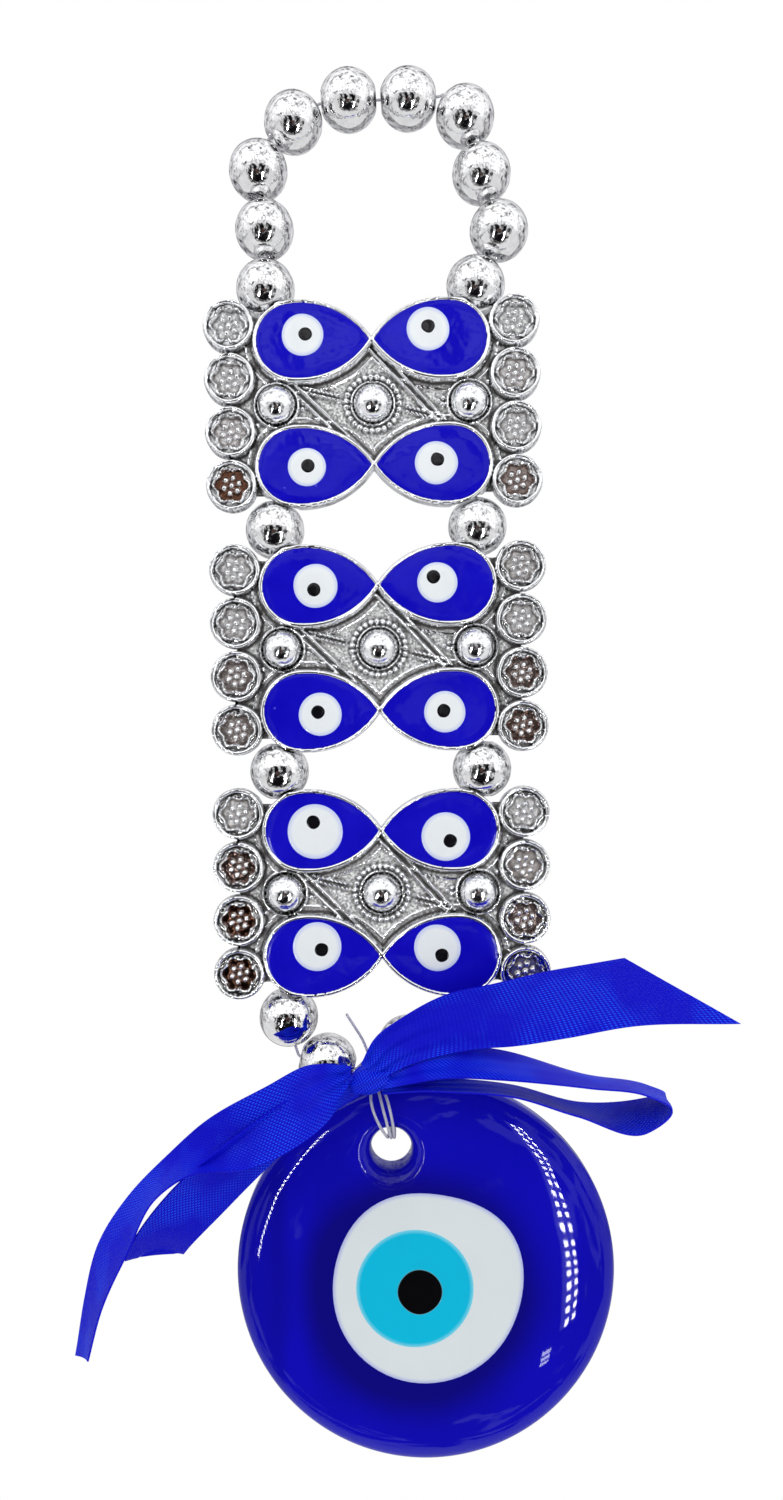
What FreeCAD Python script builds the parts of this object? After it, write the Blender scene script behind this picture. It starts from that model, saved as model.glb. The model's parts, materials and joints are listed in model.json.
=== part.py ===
# Evil eye hanging: a loop of plated beads, three cast plaques with enamel eyes, a ribbon bow and a
# glass eye disc, all threaded on clear monofilament. Millimetres, +Z up, the front faces -Y, and the
# origin is where a hook bears under the two top beads.
import FreeCAD, Part
import math
import os

import Sketcher
from FreeCAD import Placement, Rotation, Vector

doc = FreeCAD.newDocument("EvilEyeHanging")
sheet = doc.addObject("Spreadsheet::Sheet", "Sizes")

sizes = {
    # beads and string
    "beadDiameter": 10.9,
    "beadPitch": 11.1,
    "beadHole": 1.8,
    "beadFlare": 2,
    "stringDiameter": 0.5,
    "stringGap": 0.35,
    "stringBend": 0.5,
    # plaques
    "firstPlaqueDrop": 51.2,
    "plaquePitch": 45,
    "stringSpread": 18.85,
    "mouthHeight": 16.4,
    "mouthToBead": 6.1,
    "tubeDiameter": 3.2,
    "tubeBore": 1.7,
    "plateBack": 1,
    "plateFront": 2.2,
    "rimFront": 4,
    "enamelFront": 3.8,
    "plateWidth": 52,
    "plateHeight": 23,
    "webInner": 14,
    "petalColumn": 26.25,
    "petalPitch": 9.8,
    "petalDiameter": 9.4,
    "petalRecess": 7.8,
    "petalRecessDepth": 0.7,
    "eyeCentreAcross": 14.3,
    "eyeCentreUp": 11.5,
    "eyeEndRadius": 7.5,
    "eyeFlankRadius": 16,
    "eyeTipOverlap": 0.35,
    "eyeRim": 0.75,
    "pupilDiameter": 2.6,
    "whiteDepth": 0.9,
    "pupilDepth": 0.5,
    "domeRadius": 3.6,
    "sideDomeAcross": 17.8,
    "granuleRing": 4.9,
    "granuleRadius": 0.6,
    "bandWidth": 1.2,
    "bandHeight": 0.8,
    "beadClearance": 0.35,
    # glass eye
    "glassDiameter": 70,
    "glassFront": 4.6,
    "glassShoulder": 3.4,
    "glassRimWidth": 4.5,
    "holeDiameter": 7.5,
    "whiteDiameter": 35,
    "irisDiameter": 21.2,
    "bigPupilDiameter": 8,
    "layerDepth": 1.6,
    # thread and ribbon
    "threadDiameter": 0.5,
    "knotRadius": 1.3,
    "bandInner": 1.65,
    "bandOuter": 2.05,
    "bandHeightRound": 0.5,
    "bandDrop": 1.6,
    "bridgeWidth": 2.4,
    "bridgeDepth": 3.4,
    "bowKnotWidth": 6.8,
    "bowKnotDepth": 5.3,
    "ribbonThickness": 0.8,
}
for row, (alias, value) in enumerate(sizes.items(), start=1):
    sheet.set(f"A{row}", alias)
    sheet.set(f"B{row}", str(value))
    sheet.setAlias(f"B{row}", alias)
doc.recompute()

subparts = []  # the objects that are written out, each with its node name as its Label


def size(alias):
    return float(sheet.get(alias))


def bind(item, **formulas):
    """Sets properties from formulas in the sheet's words; a double underscore stands for a dot."""
    for name, formula in formulas.items():
        words = [f"Sizes.{w}" if w in sizes else w for w in formula.split()]
        item.setExpression(name.replace("__", "."), " ".join(words))
    return item


def subpart(item, label, place=None):
    item.Label = label
    if place is not None:
        item.Placement = place
    subparts.append(item)
    return item


def primitive(kind, name, **formulas):
    return bind(doc.addObject(f"Part::{kind}", name), **formulas)


def cut(name, base, tool):
    made = doc.addObject("Part::Cut", name)
    made.Base, made.Tool = base, tool
    return made


def common(name, first, second):
    made = doc.addObject("Part::Common", name)
    made.Base, made.Tool = first, second
    return made


def fuse(name, shapes):
    made = doc.addObject("Part::MultiFuse", name)
    made.Shapes = shapes
    return made


def together(name, links):
    made = doc.addObject("Part::Compound", name)
    made.Links = links
    return made


def shaped(name, shape):
    made = doc.addObject("Part::Feature", name)
    made.Shape = shape
    return made


def towards(direction, start=Vector(0, 0, 1)):
    return Rotation(start, direction)


facingFront = Rotation(Vector(1, 0, 0), 90)  # turns +Z to -Y


def frontCylinder(name, radius, back, front, x=0, z=0):
    """A cylinder along Y, from its back at y = -back to its front at y = -front."""
    made = primitive("Cylinder", name, Radius=radius, Height=f"( {front} ) - ( {back} )")
    made.Placement = Placement(Vector(x, 0, z), facingFront)
    return bind(made, Placement__Base__y=f"0 - ( {back} )")


def originPlane(body, role):
    return next(f for f in body.Origin.OriginFeatures if f.Role == role)


def padded(name, edges, back, front):
    """A body whose sketch on the front plane is padded from y = -back to y = -front."""
    body = doc.addObject("PartDesign::Body", name)
    sketch = body.newObject("Sketcher::SketchObject", name + "Outline")
    sketch.AttachmentSupport = (originPlane(body, "XZ_Plane"), [""])
    sketch.MapMode = "FlatFace"
    sketch.addGeometry(edges, False)
    pad = body.newObject("PartDesign::Pad", name + "Pad")
    pad.Profile = sketch
    bind(pad, Length=f"{front} - {back}")
    return bind(body, Placement__Base__y=f"0 - {back}")


# --- string and beads ---


def roundedPath(points, longest):
    """Straight runs joined by tangent arcs, which take up to the longest length off each run."""
    edges, start = [], points[0]
    for before, corner, after in zip(points, points[1:], points[2:]):
        come, go = corner - before, after - corner
        run = min(0.45 * come.Length, 0.45 * go.Length, longest)
        turn = come.getAngle(go)
        if turn < math.radians(0.5):
            continue
        come.normalize()
        go.normalize()
        first, last = corner - come * run, corner + go * run
        reach = run / math.tan(turn / 2) * (1 / math.cos(turn / 2) - 1)
        middle = corner + (go - come).normalize() * reach
        edges.append(Part.LineSegment(start, first).toShape())
        edges.append(Part.Arc(first, middle, last).toShape())
        start = last
    edges.append(Part.LineSegment(start, points[-1]).toShape())
    return Part.Wire(edges)


def cord(points, diameter, longest=5):
    """A round cord along a rounded path, checked against its section times its length."""
    path = roundedPath(points, longest)
    heading = (points[1] - points[0]).normalize()
    profile = Part.Wire(Part.makeCircle(diameter / 2, points[0], heading))
    solid = path.makePipeShell([profile], True, False)
    expected = math.pi * diameter**2 / 4 * path.Length
    if abs(solid.Volume / expected - 1) > 0.02:
        raise RuntimeError(f"a cord's volume is {solid.Volume:.2f}, not {expected:.2f}")
    return solid


def across(x, z, y=0):
    """A point across and up in the plane of the strings, or y off it."""
    return Vector(x, y, z)


def heading(degrees):
    return Vector(math.cos(math.radians(degrees)), 0, math.sin(math.radians(degrees)))


def pulledThrough(start, centres, end):
    """Hole directions of strung beads: each bead turns until its hole points along the pull."""
    reach = size("beadDiameter") / 2 + 0.05
    stops = [start, *centres, end]
    holes = [(b - a).normalize() for a, b in zip(stops, stops[2:])]
    for _ in range(200):
        turned = []
        for n, centre in enumerate(centres):
            before = start if n == 0 else centres[n - 1] + holes[n - 1] * reach
            after = end if n == len(centres) - 1 else centres[n + 1] - holes[n + 1] * reach
            turned.append((holes[n] + (after - before).normalize()).normalize())
        holes = turned
    return holes


def stringPoints(start, centres, holes, end):
    """The string's corners: one between two beads that nearly touch, else one at each hole's mouth."""
    reach = size("beadDiameter") / 2 + 0.05
    points = [start]
    for centre, hole in zip(centres, holes):
        into, out = centre - hole * reach, centre + hole * reach
        if (into - points[-1]).Length < size("beadHole") * 0.7:
            points[-1] = (into + points[-1]) * 0.5
        else:
            points.append(into)
        points.append(out)
    return [*points, end]


def bead(label, centre, hole):
    ball = primitive("Sphere", label + "_ball", Radius="beadDiameter / 2")
    drill = primitive("Cylinder", label + "_drill", Radius="beadHole / 2", Height="beadDiameter * 1.2")
    bind(drill, Placement__Base__z="beadDiameter * ( 0 - 0.6 )")
    tools = [drill]
    for end in ("-1", "1"):
        flare = primitive("Sphere", label + "_flare", Radius="beadFlare")
        tools.append(bind(flare, Placement__Base__z=f"( beadDiameter / 2 + 0.5 ) * {end}"))
    drilled = cut(label, ball, fuse(label + "_tools", tools))
    return subpart(drilled, label, Placement(centre, towards(hole)))


def straightStrings(name, ends):
    """Straight lengths of string, one between each pair of ends."""
    lengths = []
    for n, (low, high) in enumerate(ends):
        piece = primitive("Cylinder", f"{name}_{n}", Radius="stringDiameter / 2")
        piece.Height = (high - low).Length
        piece.Placement = Placement(low, towards(high - low))
        lengths.append(piece)
    return subpart(together(name, lengths), name)


# --- plaques ---

eyeSigns = ((-1, 1), (1, 1), (-1, -1), (1, -1))  # top left, top right, bottom left, bottom right


def teardrop(side, up, inset):
    """A round end and two flanks that meet in a point just past the plaque's middle, as three arcs."""
    end = size("eyeEndRadius") - inset
    flank = size("eyeFlankRadius") - inset
    between = flank - end
    tip = size("eyeCentreAcross") + size("eyeTipOverlap")
    near = (2 * (flank + inset) * (end + inset) - (end + inset) ** 2 - tip**2) / (2 * tip)
    off = math.sqrt(between**2 - near**2)
    point = math.sqrt(flank**2 - off**2) - near

    def place(x, z):
        return Vector(side * (size("eyeCentreAcross") + x), up * size("eyeCentreUp") + z, 0)

    arcs = []
    for upper in (1, -1):
        # the flank's centre is beyond the middle, on the other side of the eye's own axis
        joint = Vector(-near, upper * off).normalize() * end
        halfway = (math.atan2(upper * off, -near) + math.atan2(upper * off, -(point + near))) / 2
        bulge = Vector(near + flank * math.cos(halfway), upper * (flank * abs(math.sin(halfway)) - off))
        arcs.append(Part.Arc(place(joint.x, joint.y), place(bulge.x, bulge.y), place(-point, 0)))
        if upper == 1:
            first = joint
    arcs.append(Part.Arc(place(first.x, first.y), place(end, 0), place(first.x, -first.y)))
    return arcs


def teardrops(name, inset, back, front, signs=eyeSigns):
    edges = [arc for side, up in signs for arc in teardrop(side, up, inset)]
    return padded(name, edges, back, front)


def box(name, width, height, x, z, back="plateBack", front="plateFront", turn=0):
    """A plate of the given width and height, centred at x and z and turned in its own plane."""
    made = primitive("Box", name, Length=width, Width=f"( {front} ) - ( {back} )", Height=height)
    made.recompute()
    half = Vector(made.Length.Value / 2, made.Width.Value, made.Height.Value / 2)
    spin = Rotation(Vector(0, -1, 0), turn)
    made.Placement = Placement(Vector(x, 0, z) - spin.multVec(half), spin)
    return bind(made, Placement__Base__y=f"0 - ( {front} )")


def castPlaque():
    """The plaque's one casting: plate, petal discs, eye rims, domes, bands and two string tubes."""
    solid = [box("castPlate", "plateWidth", "plateHeight", 0, 0)]
    hollow = []
    webWidth = "petalColumn - webInner"
    webMiddle = (size("petalColumn") + size("webInner")) / 2
    for side in (-1, 1):
        name = "Left" if side < 0 else "Right"
        solid.append(box("castWeb" + name, webWidth, "mouthHeight * 2", side * webMiddle, 0))
        for step in (-1.5, -0.5, 0.5, 1.5):
            x, z = side * size("petalColumn"), step * size("petalPitch")
            tag = f"{name}{int(step + 2)}"
            disc = ("petalDiameter / 2", "plateBack", "rimFront")
            recess = ("petalRecess / 2", "rimFront - petalRecessDepth", "rimFront + 1")
            solid.append(frontCylinder("castPetal" + tag, *disc, x, z))
            hollow.append(frontCylinder("castPetalRecess" + tag, *recess, x, z))
        dome = primitive("Sphere", "castDome" + name, Radius="domeRadius")
        dome.Placement.Base.x = side * size("sideDomeAcross")
        solid.append(bind(dome, Placement__Base__y="0 - plateFront"))
        tube = primitive("Cylinder", "castTube" + name, Radius="tubeDiameter / 2")
        bore = primitive("Cylinder", "castBore" + name, Radius="tubeBore / 2")
        for pipe, over in ((tube, 0), (bore, 1)):
            bind(pipe, Height=f"( mouthHeight + {over} ) * 2")
            pipe.Placement.Base.x = side * size("stringSpread")
            bind(pipe, Placement__Base__z=f"0 - mouthHeight - {over}")
        solid.append(tube)
        hollow.append(bore)
    for step, radius in enumerate(("granuleRing", "domeRadius + 0.3")):
        ring = primitive("Torus", f"castRing{step}", Radius1=radius, Radius2="granuleRadius")
        ring.Placement = Placement(Vector(0, 0, 0), facingFront)
        solid.append(bind(ring, Placement__Base__y="0 - plateFront"))
    dome = primitive("Sphere", "castDomeMiddle", Radius="domeRadius")
    solid.append(bind(dome, Placement__Base__y="0 - plateFront"))
    # two ridged bands beside the middle dome, and a spoke from it to each side dome
    bands = [((-0.4, 10.8), (12.9, -3.7)), ((-15.1, 3.7), (0, -11.2))]
    spokes = [((-12.7, 2.8), (-5, 0.8)), ((5, -0.8), (12.7, -2.8))]
    for n, ((fromX, fromZ), (toX, toZ)) in enumerate(bands + spokes):
        along = Vector(toX - fromX, 0, toZ - fromZ)
        turn = math.degrees(math.atan2(along.z, along.x))
        x, z = (fromX + toX) / 2, (fromZ + toZ) / 2
        length, front = f"{along.Length:.1f}", "plateFront + bandHeight"
        solid.append(box(f"castBand{n}", length, "bandWidth", x, z, front=front, turn=turn))
    solid.append(teardrops("castRimsLeft", 0, "plateBack", "rimFront", eyeSigns[::2]))
    solid.append(teardrops("castRimsRight", 0, "plateBack", "rimFront", eyeSigns[1::2]))
    hollow.append(teardrops("castPockets", size("eyeRim"), "plateFront", "rimFront"))
    # room for the beads that sit under the eyes at each string mouth, as they stand and a little forward
    for n, (side, up) in enumerate(eyeSigns):
        for lean in (0, 5):
            room = primitive("Sphere", f"castRoom{n}{lean}", Radius="beadDiameter / 2 + beadClearance")
            swing = size("mouthToBead")
            drop = size("mouthHeight") + swing * math.cos(math.radians(lean))
            room.Placement.Base = Vector(
                side * size("stringSpread"), -swing * math.sin(math.radians(lean)), up * drop
            )
            hollow.append(room)
    return cut("castPlaque", fuse("castSolid", solid), fuse("castHollow", hollow))


# each plaque's four eyes: the white drop's place across and up, its diameter, and its pupil's place
eyesByPlaque = [
    [
        (-12.6, 12.4, 7.8, -12.1, 12.5),
        (10.4, 13.0, 8.0, 10.4, 13.5),
        (-12.3, -11.8, 7.1, -12.1, -11.6),
        (11.4, -11.5, 8.0, 11.6, -10.9),
    ],
    [
        (-11.4, 11.4, 8.2, -11.7, 10.7),
        (10.9, 11.7, 7.5, 10.2, 12.7),
        (-10.9, -12.1, 8.0, -11.3, -11.7),
        (11.9, -12.0, 7.7, 11.7, -11.8),
    ],
    [
        (-12.1, 11.4, 10.2, -12.4, 13.1),
        (11.8, 10.3, 9.0, 12.6, 9.5),
        (-11.9, -9.7, 9.0, -11.1, -10.2),
        (10.1, -10.1, 8.6, 10.9, -11.4),
    ],
]
# each plaque's middle across, and how far it is turned in its own plane
plaqueStance = [(-1.0, 1.2), (0.1, 0.9), (0.65, 0.5)]


def plaquePlace(n):
    middle, turn = plaqueStance[n]
    centre = across(middle, -size("firstPlaqueDrop") - n * size("plaquePitch"))
    return Placement(centre, Rotation(Vector(0, -1, 0), turn))


def mouth(n, side, up):
    """Where a string leaves plaque n: side -1 is left, up 1 is the top."""
    return plaquePlace(n).multVec(across(side * size("stringSpread"), up * size("mouthHeight")))


def plaque(n, casting):
    name, place = f"plaque_{n + 1}", plaquePlace(n)
    subpart(together(name + "_casting", [casting]), name + "_casting", place)
    whites, dots = [], []
    whiteDepths = ("enamelFront - whiteDepth", "enamelFront")
    dotDepths = ("enamelFront - pupilDepth", "enamelFront")
    for k, (x, z, width, dotX, dotZ) in enumerate(eyesByPlaque[n]):
        whites.append(frontCylinder(f"{name}White{k}", f"{width} / 2", *whiteDepths, x, z))
        dots.append(frontCylinder(f"{name}Dot{k}", "pupilDiameter / 2", *dotDepths, dotX, dotZ))
    field = teardrops(name + "Field", size("eyeRim"), "plateFront", "enamelFront")
    blue = cut(name + "_blue", field, fuse(name + "WhiteTools", whites))
    subpart(blue, name + "_blue_enamel", place)
    white = cut(name + "_white", together(name + "Whites", whites), together(name + "DotTools", dots))
    subpart(white, name + "_white_enamel", place)
    subpart(together(name + "_dots", dots), name + "_pupils", place)
    straightStrings(name + "_strings", [(mouth(n, s, -1), mouth(n, s, 1)) for s in (-1, 1)])


def link(n):
    """The two strings and beads between plaque n and the next."""
    ends = []
    for side, word in ((-1, "left"), (1, "right")):
        top, bottom = mouth(n, side, -1), mouth(n + 1, side, 1)
        along = (bottom - top).normalize()
        gap = along * size("stringGap")
        ends.append((bottom - gap, top + gap))
        bead(f"link_{n + 1}_bead_{word}", (top + bottom) * 0.5, along)
    straightStrings(f"link_{n + 1}_strings", ends)


# --- the hanging loop ---


def hangingLoop():
    """Ten beads on one string from the first plaque's left mouth round to its right one."""
    leave = heading(98)
    centres = [mouth(0, -1, 1) + leave * size("mouthToBead")]
    for turn in (91, 96, 54, 22, 1, -17, -74, -73, -113):
        centres.append(centres[-1] + heading(turn) * size("beadPitch"))
    start = mouth(0, -1, 1) + leave * size("stringGap")
    back = (centres[-1] - mouth(0, 1, 1)).normalize()
    end = mouth(0, 1, 1) + back * size("stringGap")
    holes = pulledThrough(start, centres, end)
    for n, (centre, hole) in enumerate(zip(centres, holes), start=1):
        bead(f"loop_bead_{n:02d}", centre, hole)
    path = stringPoints(start, centres, holes, end)
    subpart(shaped("loopString", cord(path, size("stringDiameter"), size("stringBend"))), "loop_string")


# --- the lower V, the nylon knot and the threads ---

knotPlace = across(-1.2, -173)
holePivot = across(2.4, -185.8)
discCentre = across(8.8, -211.3)
discHole = across(2.4, -188.6)


def lowerV():
    """Two strings with two beads each, which come together at the nylon knot."""
    sides = {
        "left": (mouth(2, -1, -1), [across(-16.7, -164.7), across(-9.5, -173.3)]),
        "right": (mouth(2, 1, -1), [across(15.9, -166.1), across(5.4, -169.9)]),
    }
    strings = []
    for word, (top, centres) in sides.items():
        start = top + (centres[0] - top).normalize() * size("stringGap")
        towardsKnot = (knotPlace - centres[-1]).normalize()
        end = knotPlace - towardsKnot * (size("knotRadius") + 0.2)
        holes = pulledThrough(start, centres, end)
        for level, centre, hole in zip(("upper", "lower"), centres, holes):
            bead(f"v_bead_{word}_{level}", centre, hole)
        path = stringPoints(start, centres, holes, end)
        strings.append(cord(path, size("stringDiameter"), size("stringBend")))
    subpart(shaped("vStrings", Part.makeCompound(strings)), "v_strings")


def knotAndThreads():
    knot = primitive("Sphere", "nylonKnot", Radius="knotRadius")
    subpart(knot, "nylon_knot", Placement(knotPlace, Rotation()))
    top = across(-5.9, -163.7, -2.2)
    away = (top - knotPlace).normalize()
    root = knotPlace + away * (size("knotRadius") + 0.02)
    route = [root, root + away * 3.5 + Vector(0.5, 0, 0), top]
    subpart(shaped("looseEnd", cord(route, size("threadDiameter"))), "nylon_loose_end")
    wraps = [threadWrap(shift) for shift in (-0.52, 0, 0.52)]
    subpart(shaped("wraps", Part.makeCompound(wraps)), "thread_wraps")


def threadWrap(shift):
    """One turn of thread: from under the knot, down the glass's face, through its hole and back up."""
    lean = (holePivot - knotPlace) * (1 / (holePivot - knotPlace).Length)
    drop = (holePivot - knotPlace).Length
    # depth from the string plane and distance below the knot, going down the front and up the back
    down = [(-0.4, 1.8), (-2.6, 3.6), (-5.3, 6.5), (-5.3, drop - 1.2), (-3.8, drop)]
    back = [(3.3, drop), (4.5, drop - 1.2), (4.5, 6.5), (2.4, 3.6), (0.4, 1.8)]
    points = [knotPlace + lean * below + Vector(shift, depth, 0) for depth, below in down + back]
    return cord(points, size("threadDiameter"))


# --- the glass eye ---


def glassBlank():
    """The disc's form turned about Y: a shallow dome in front, a round rim and a flat back."""
    body = doc.addObject("PartDesign::Body", "glassBlank")
    sketch = body.newObject("Sketcher::SketchObject", "glassProfile")
    sketch.AttachmentSupport = (originPlane(body, "XY_Plane"), [""])
    sketch.MapMode = "FlatFace"
    radius, shoulder, front = size("glassDiameter") / 2, size("glassShoulder"), size("glassFront")
    flat = radius - size("glassRimWidth")
    swell = Vector(flat * 0.6, -front + 0.36 * (front - shoulder))
    sketch.addGeometry(
        [
            Part.Arc(Vector(0, -front), swell, Vector(flat, -shoulder)),
            Part.Arc(Vector(flat, -shoulder), Vector(radius, 0), Vector(flat, shoulder)),
            Part.LineSegment(Vector(flat, shoulder), Vector(0, shoulder)),
            Part.LineSegment(Vector(0, shoulder), Vector(0, -front)),
        ],
        False,
    )
    turned = body.newObject("PartDesign::Revolution", "glassTurned")
    turned.Profile = sketch
    turned.ReferenceAxis = (sketch, ["V_Axis"])
    turned.Angle = 360
    return body


def glassEye():
    """Blue disc, white, light blue and black layers, each let into the one before it."""
    blank, place = glassBlank(), Placement(discCentre, Rotation())
    layers = [
        ("white", "whiteDiameter / 2", "layerDepth", 0.2, -1.6),
        ("iris", "irisDiameter / 2", "layerDepth * 0.7", -2.1, -1.8),
        ("pupil", "bigPupilDiameter / 2", "layerDepth * 0.4", -1.2, -2.4),
    ]
    tools = [
        frontCylinder(name + "Tool", radius, f"glassShoulder - {depth}", "glassFront + 1", x, z)
        for name, radius, depth, x, z in layers
    ]
    through = ("holeDiameter / 2", "0 - glassFront", "glassFront + 1")
    hole = discHole - discCentre
    holeTool = frontCylinder("holeTool", *through, hole.x, hole.z)
    whole = [common(t.Name + "Layer", blank, t) for t in tools]
    subpart(cut("blueGlass", blank, fuse("blueGlassTools", [tools[0], holeTool])), "glass_disc", place)
    subpart(cut("whiteGlass", whole[0], tools[1]), "white_glass", place)
    subpart(cut("irisGlass", whole[1], tools[2]), "light_blue_glass", place)
    subpart(whole[2], "pupil_glass", place)


# --- the ribbon bow ---

# A ribbon's stations are the places of its two edges, across, depth and up, from the knot outwards.
ribbonStations = {
    "ribbon_left_tail": [
        ((-4.9, -8.6, -171.4), (-4.9, -8.2, -174.6)),
        ((-12.2, -13.5, -170.0), (-8.8, -13, -180.0)),
        ((-19.3, -14.5, -173.3), (-14.5, -14, -184.2)),
        ((-27.6, -13.5, -178.0), (-22.5, -14.5, -187.6)),
        ((-36.9, -8.5, -186.5), (-32.6, -15.5, -188.4)),
        ((-45.2, -5.5, -196.0), (-38.0, -16, -192.0)),
        ((-51.0, -4.8, -205.5), (-43.0, -16, -201.5)),
        ((-53.6, -4.8, -215.0), (-47.3, -16, -211.0)),
        ((-55.0, -5.2, -225.0), (-49.6, -16.4, -219.8)),
    ],
    "ribbon_left_loop": [
        ((-4.9, -7, -173.5), (-4.4, -6.5, -176.6)),
        ((-14.5, -10.8, -175.5), (-11.5, -7.5, -183.2)),
        ((-26.0, -12, -183.0), (-20.5, -8, -190.8)),
        ((-36.0, -12, -192.0), (-28.2, -8, -198.4)),
        ((-42.8, -11.4, -201.0), (-34.0, -7.8, -204.6)),
        ((-44.3, -10, -204.4), (-35.4, -6.8, -206.6)),
        ((-42.6, -8.6, -202.4), (-34.2, -5.6, -204.9)),
        ((-36.0, -8.4, -193.4), (-28.6, -5.2, -198.6)),
        ((-26.4, -8.2, -184.8), (-20.8, -5.2, -191.2)),
        ((-14.8, -7.2, -177.4), (-12.2, -5.2, -183.4)),
        ((-5.4, -5, -174.4), (-5, -4.6, -177.2)),
    ],
    "ribbon_right_tail": [
        ((1.2, -9.4, -170.9), (2.2, -9.2, -172.6)),
        ((6.0, -10.2, -162.8), (9.5, -9.4, -170.0)),
        ((12.2, -10.8, -158.8), (17.3, -10, -168.0)),
        ((19.6, -11, -156.4), (24.1, -10.4, -167.4)),
        ((30.0, -11, -154.0), (33.2, -10.6, -166.0)),
        ((36.9, -10.8, -152.9), (45.0, -10.6, -163.9)),
        ((43.7, -10.4, -151.8), (64.2, -10.6, -163.4)),
    ],
    "ribbon_right_loop": [
        ((2.9, -8.6, -174.0), (2.9, -6.2, -173.3)),
        ((11.0, -13.5, -171.8), (10.5, -6.8, -170.9)),
        ((21.0, -16, -171.8), (19.5, -6.4, -170.0)),
        ((36.5, -17, -172.6), (38.0, -5.6, -174.0)),
        ((46.4, -16.8, -174.4), (48.8, -5.6, -176.6)),
        ((50.3, -16.4, -176.8), (52.2, -5.6, -179.0)),
        ((46.2, -16.2, -180.6), (48.0, -5.6, -181.0)),
        ((34.3, -15.8, -178.0), (37.0, -5.6, -179.4)),
        ((23.3, -14.4, -174.4), (24.0, -6.2, -176.0)),
        ((11.0, -11.4, -174.0), (11.0, -6.4, -174.0)),
        ((2.9, -8.2, -175.6), (2.9, -6.2, -175.4)),
    ],
}


def flatFace(*corners):
    return Part.Face(Part.makePolygon([*corners, corners[0]]))


def ribbon(label):
    """A band of flat faces between sections, one at each station, square to the way it runs."""
    stations = [(Vector(*a), Vector(*b)) for a, b in ribbonStations[label]]
    middles = [(a + b) * 0.5 for a, b in stations]
    half = size("ribbonThickness") / 2
    sections = []
    for n, (a, b) in enumerate(stations):
        along = middles[min(n + 1, len(middles) - 1)] - middles[max(n - 1, 0)]
        face = (b - a).cross(along).normalize() * half
        sections.append([a + face, b + face, b - face, a - face])
    first, last = sections[0], sections[-1]
    faces = [flatFace(*first[:3]), flatFace(first[0], *first[2:])]
    faces += [flatFace(*last[:3]), flatFace(last[0], *last[2:])]
    for here, there in zip(sections, sections[1:]):
        for k in range(4):
            p, q = here[k], here[k - 1]
            r, s = there[k], there[k - 1]
            faces += [flatFace(p, q, r), flatFace(q, s, r)]
    shell = Part.makeShell(faces)
    shell.sewShape()
    solid = Part.makeSolid(shell)
    if solid.Volume < 0:
        solid.reverse()
    return subpart(shaped(label, solid), label)


def bowKnot():
    """The bow's knot, with a narrow band of it round the nylon knot behind."""
    middle = across(-1.2, -174, -7)
    ball = primitive("Sphere", "bowKnotBall", Radius="bowKnotWidth / 2")
    drum = primitive("Cylinder", "bowKnotDrum", Radius="bowKnotDepth / 2", Height="bowKnotWidth")
    ball.Placement.Base = middle
    start = middle - Vector(size("bowKnotWidth") / 2, 0, 0)
    drum.Placement = Placement(start, towards(Vector(1, 0, 0)))
    knot = common("bowKnotForm", ball, drum)
    outer = primitive("Cylinder", "bowBandOuter", Radius="bandOuter", Height="bandHeightRound")
    inner = primitive("Cylinder", "bowBandInner", Radius="bandInner", Height="bandHeightRound + 2")
    bridge = primitive("Box", "bowBridge")
    bind(bridge, Length="bridgeWidth", Width="bridgeDepth", Height="bandHeightRound")
    low = knotPlace - Vector(0, 0, size("bandDrop"))
    outer.Placement.Base = low
    inner.Placement.Base = low - Vector(0, 0, 1)
    front = -size("bandInner") - 0.2 - size("bridgeDepth")
    bridge.Placement.Base = low + Vector(-size("bridgeWidth") / 2, front, 0)
    solid = fuse("bowKnotSolid", [knot, outer, bridge])
    subpart(cut("bowKnot", solid, inner), "ribbon_knot")


# --- build, check and write ---

casting = castPlaque()
hangingLoop()
for index in range(3):
    plaque(index, casting)
for index in range(2):
    link(index)
lowerV()
knotAndThreads()
glassEye()
bowKnot()
for ribbonName in ribbonStations:
    ribbon(ribbonName)

doc.recompute()
failed = [o.Name for o in doc.Objects if "Invalid" in o.State or "Error" in o.State]
if failed:
    raise RuntimeError(f"objects that failed: {failed}")
os.makedirs("parts", exist_ok=True)
for piece in subparts:
    if piece.Shape.isNull() or not piece.Shape.isValid() or piece.Shape.Volume <= 0:
        raise RuntimeError(f"{piece.Label} has no valid shape")
    piece.Shape.exportStep(f"parts/{piece.Label}.step")
print(f"{len(subparts)} parts written")
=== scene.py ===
# Looks for the evil eye hanging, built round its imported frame. Metres, +Z up, the front faces -Y.
import json
import math

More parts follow.
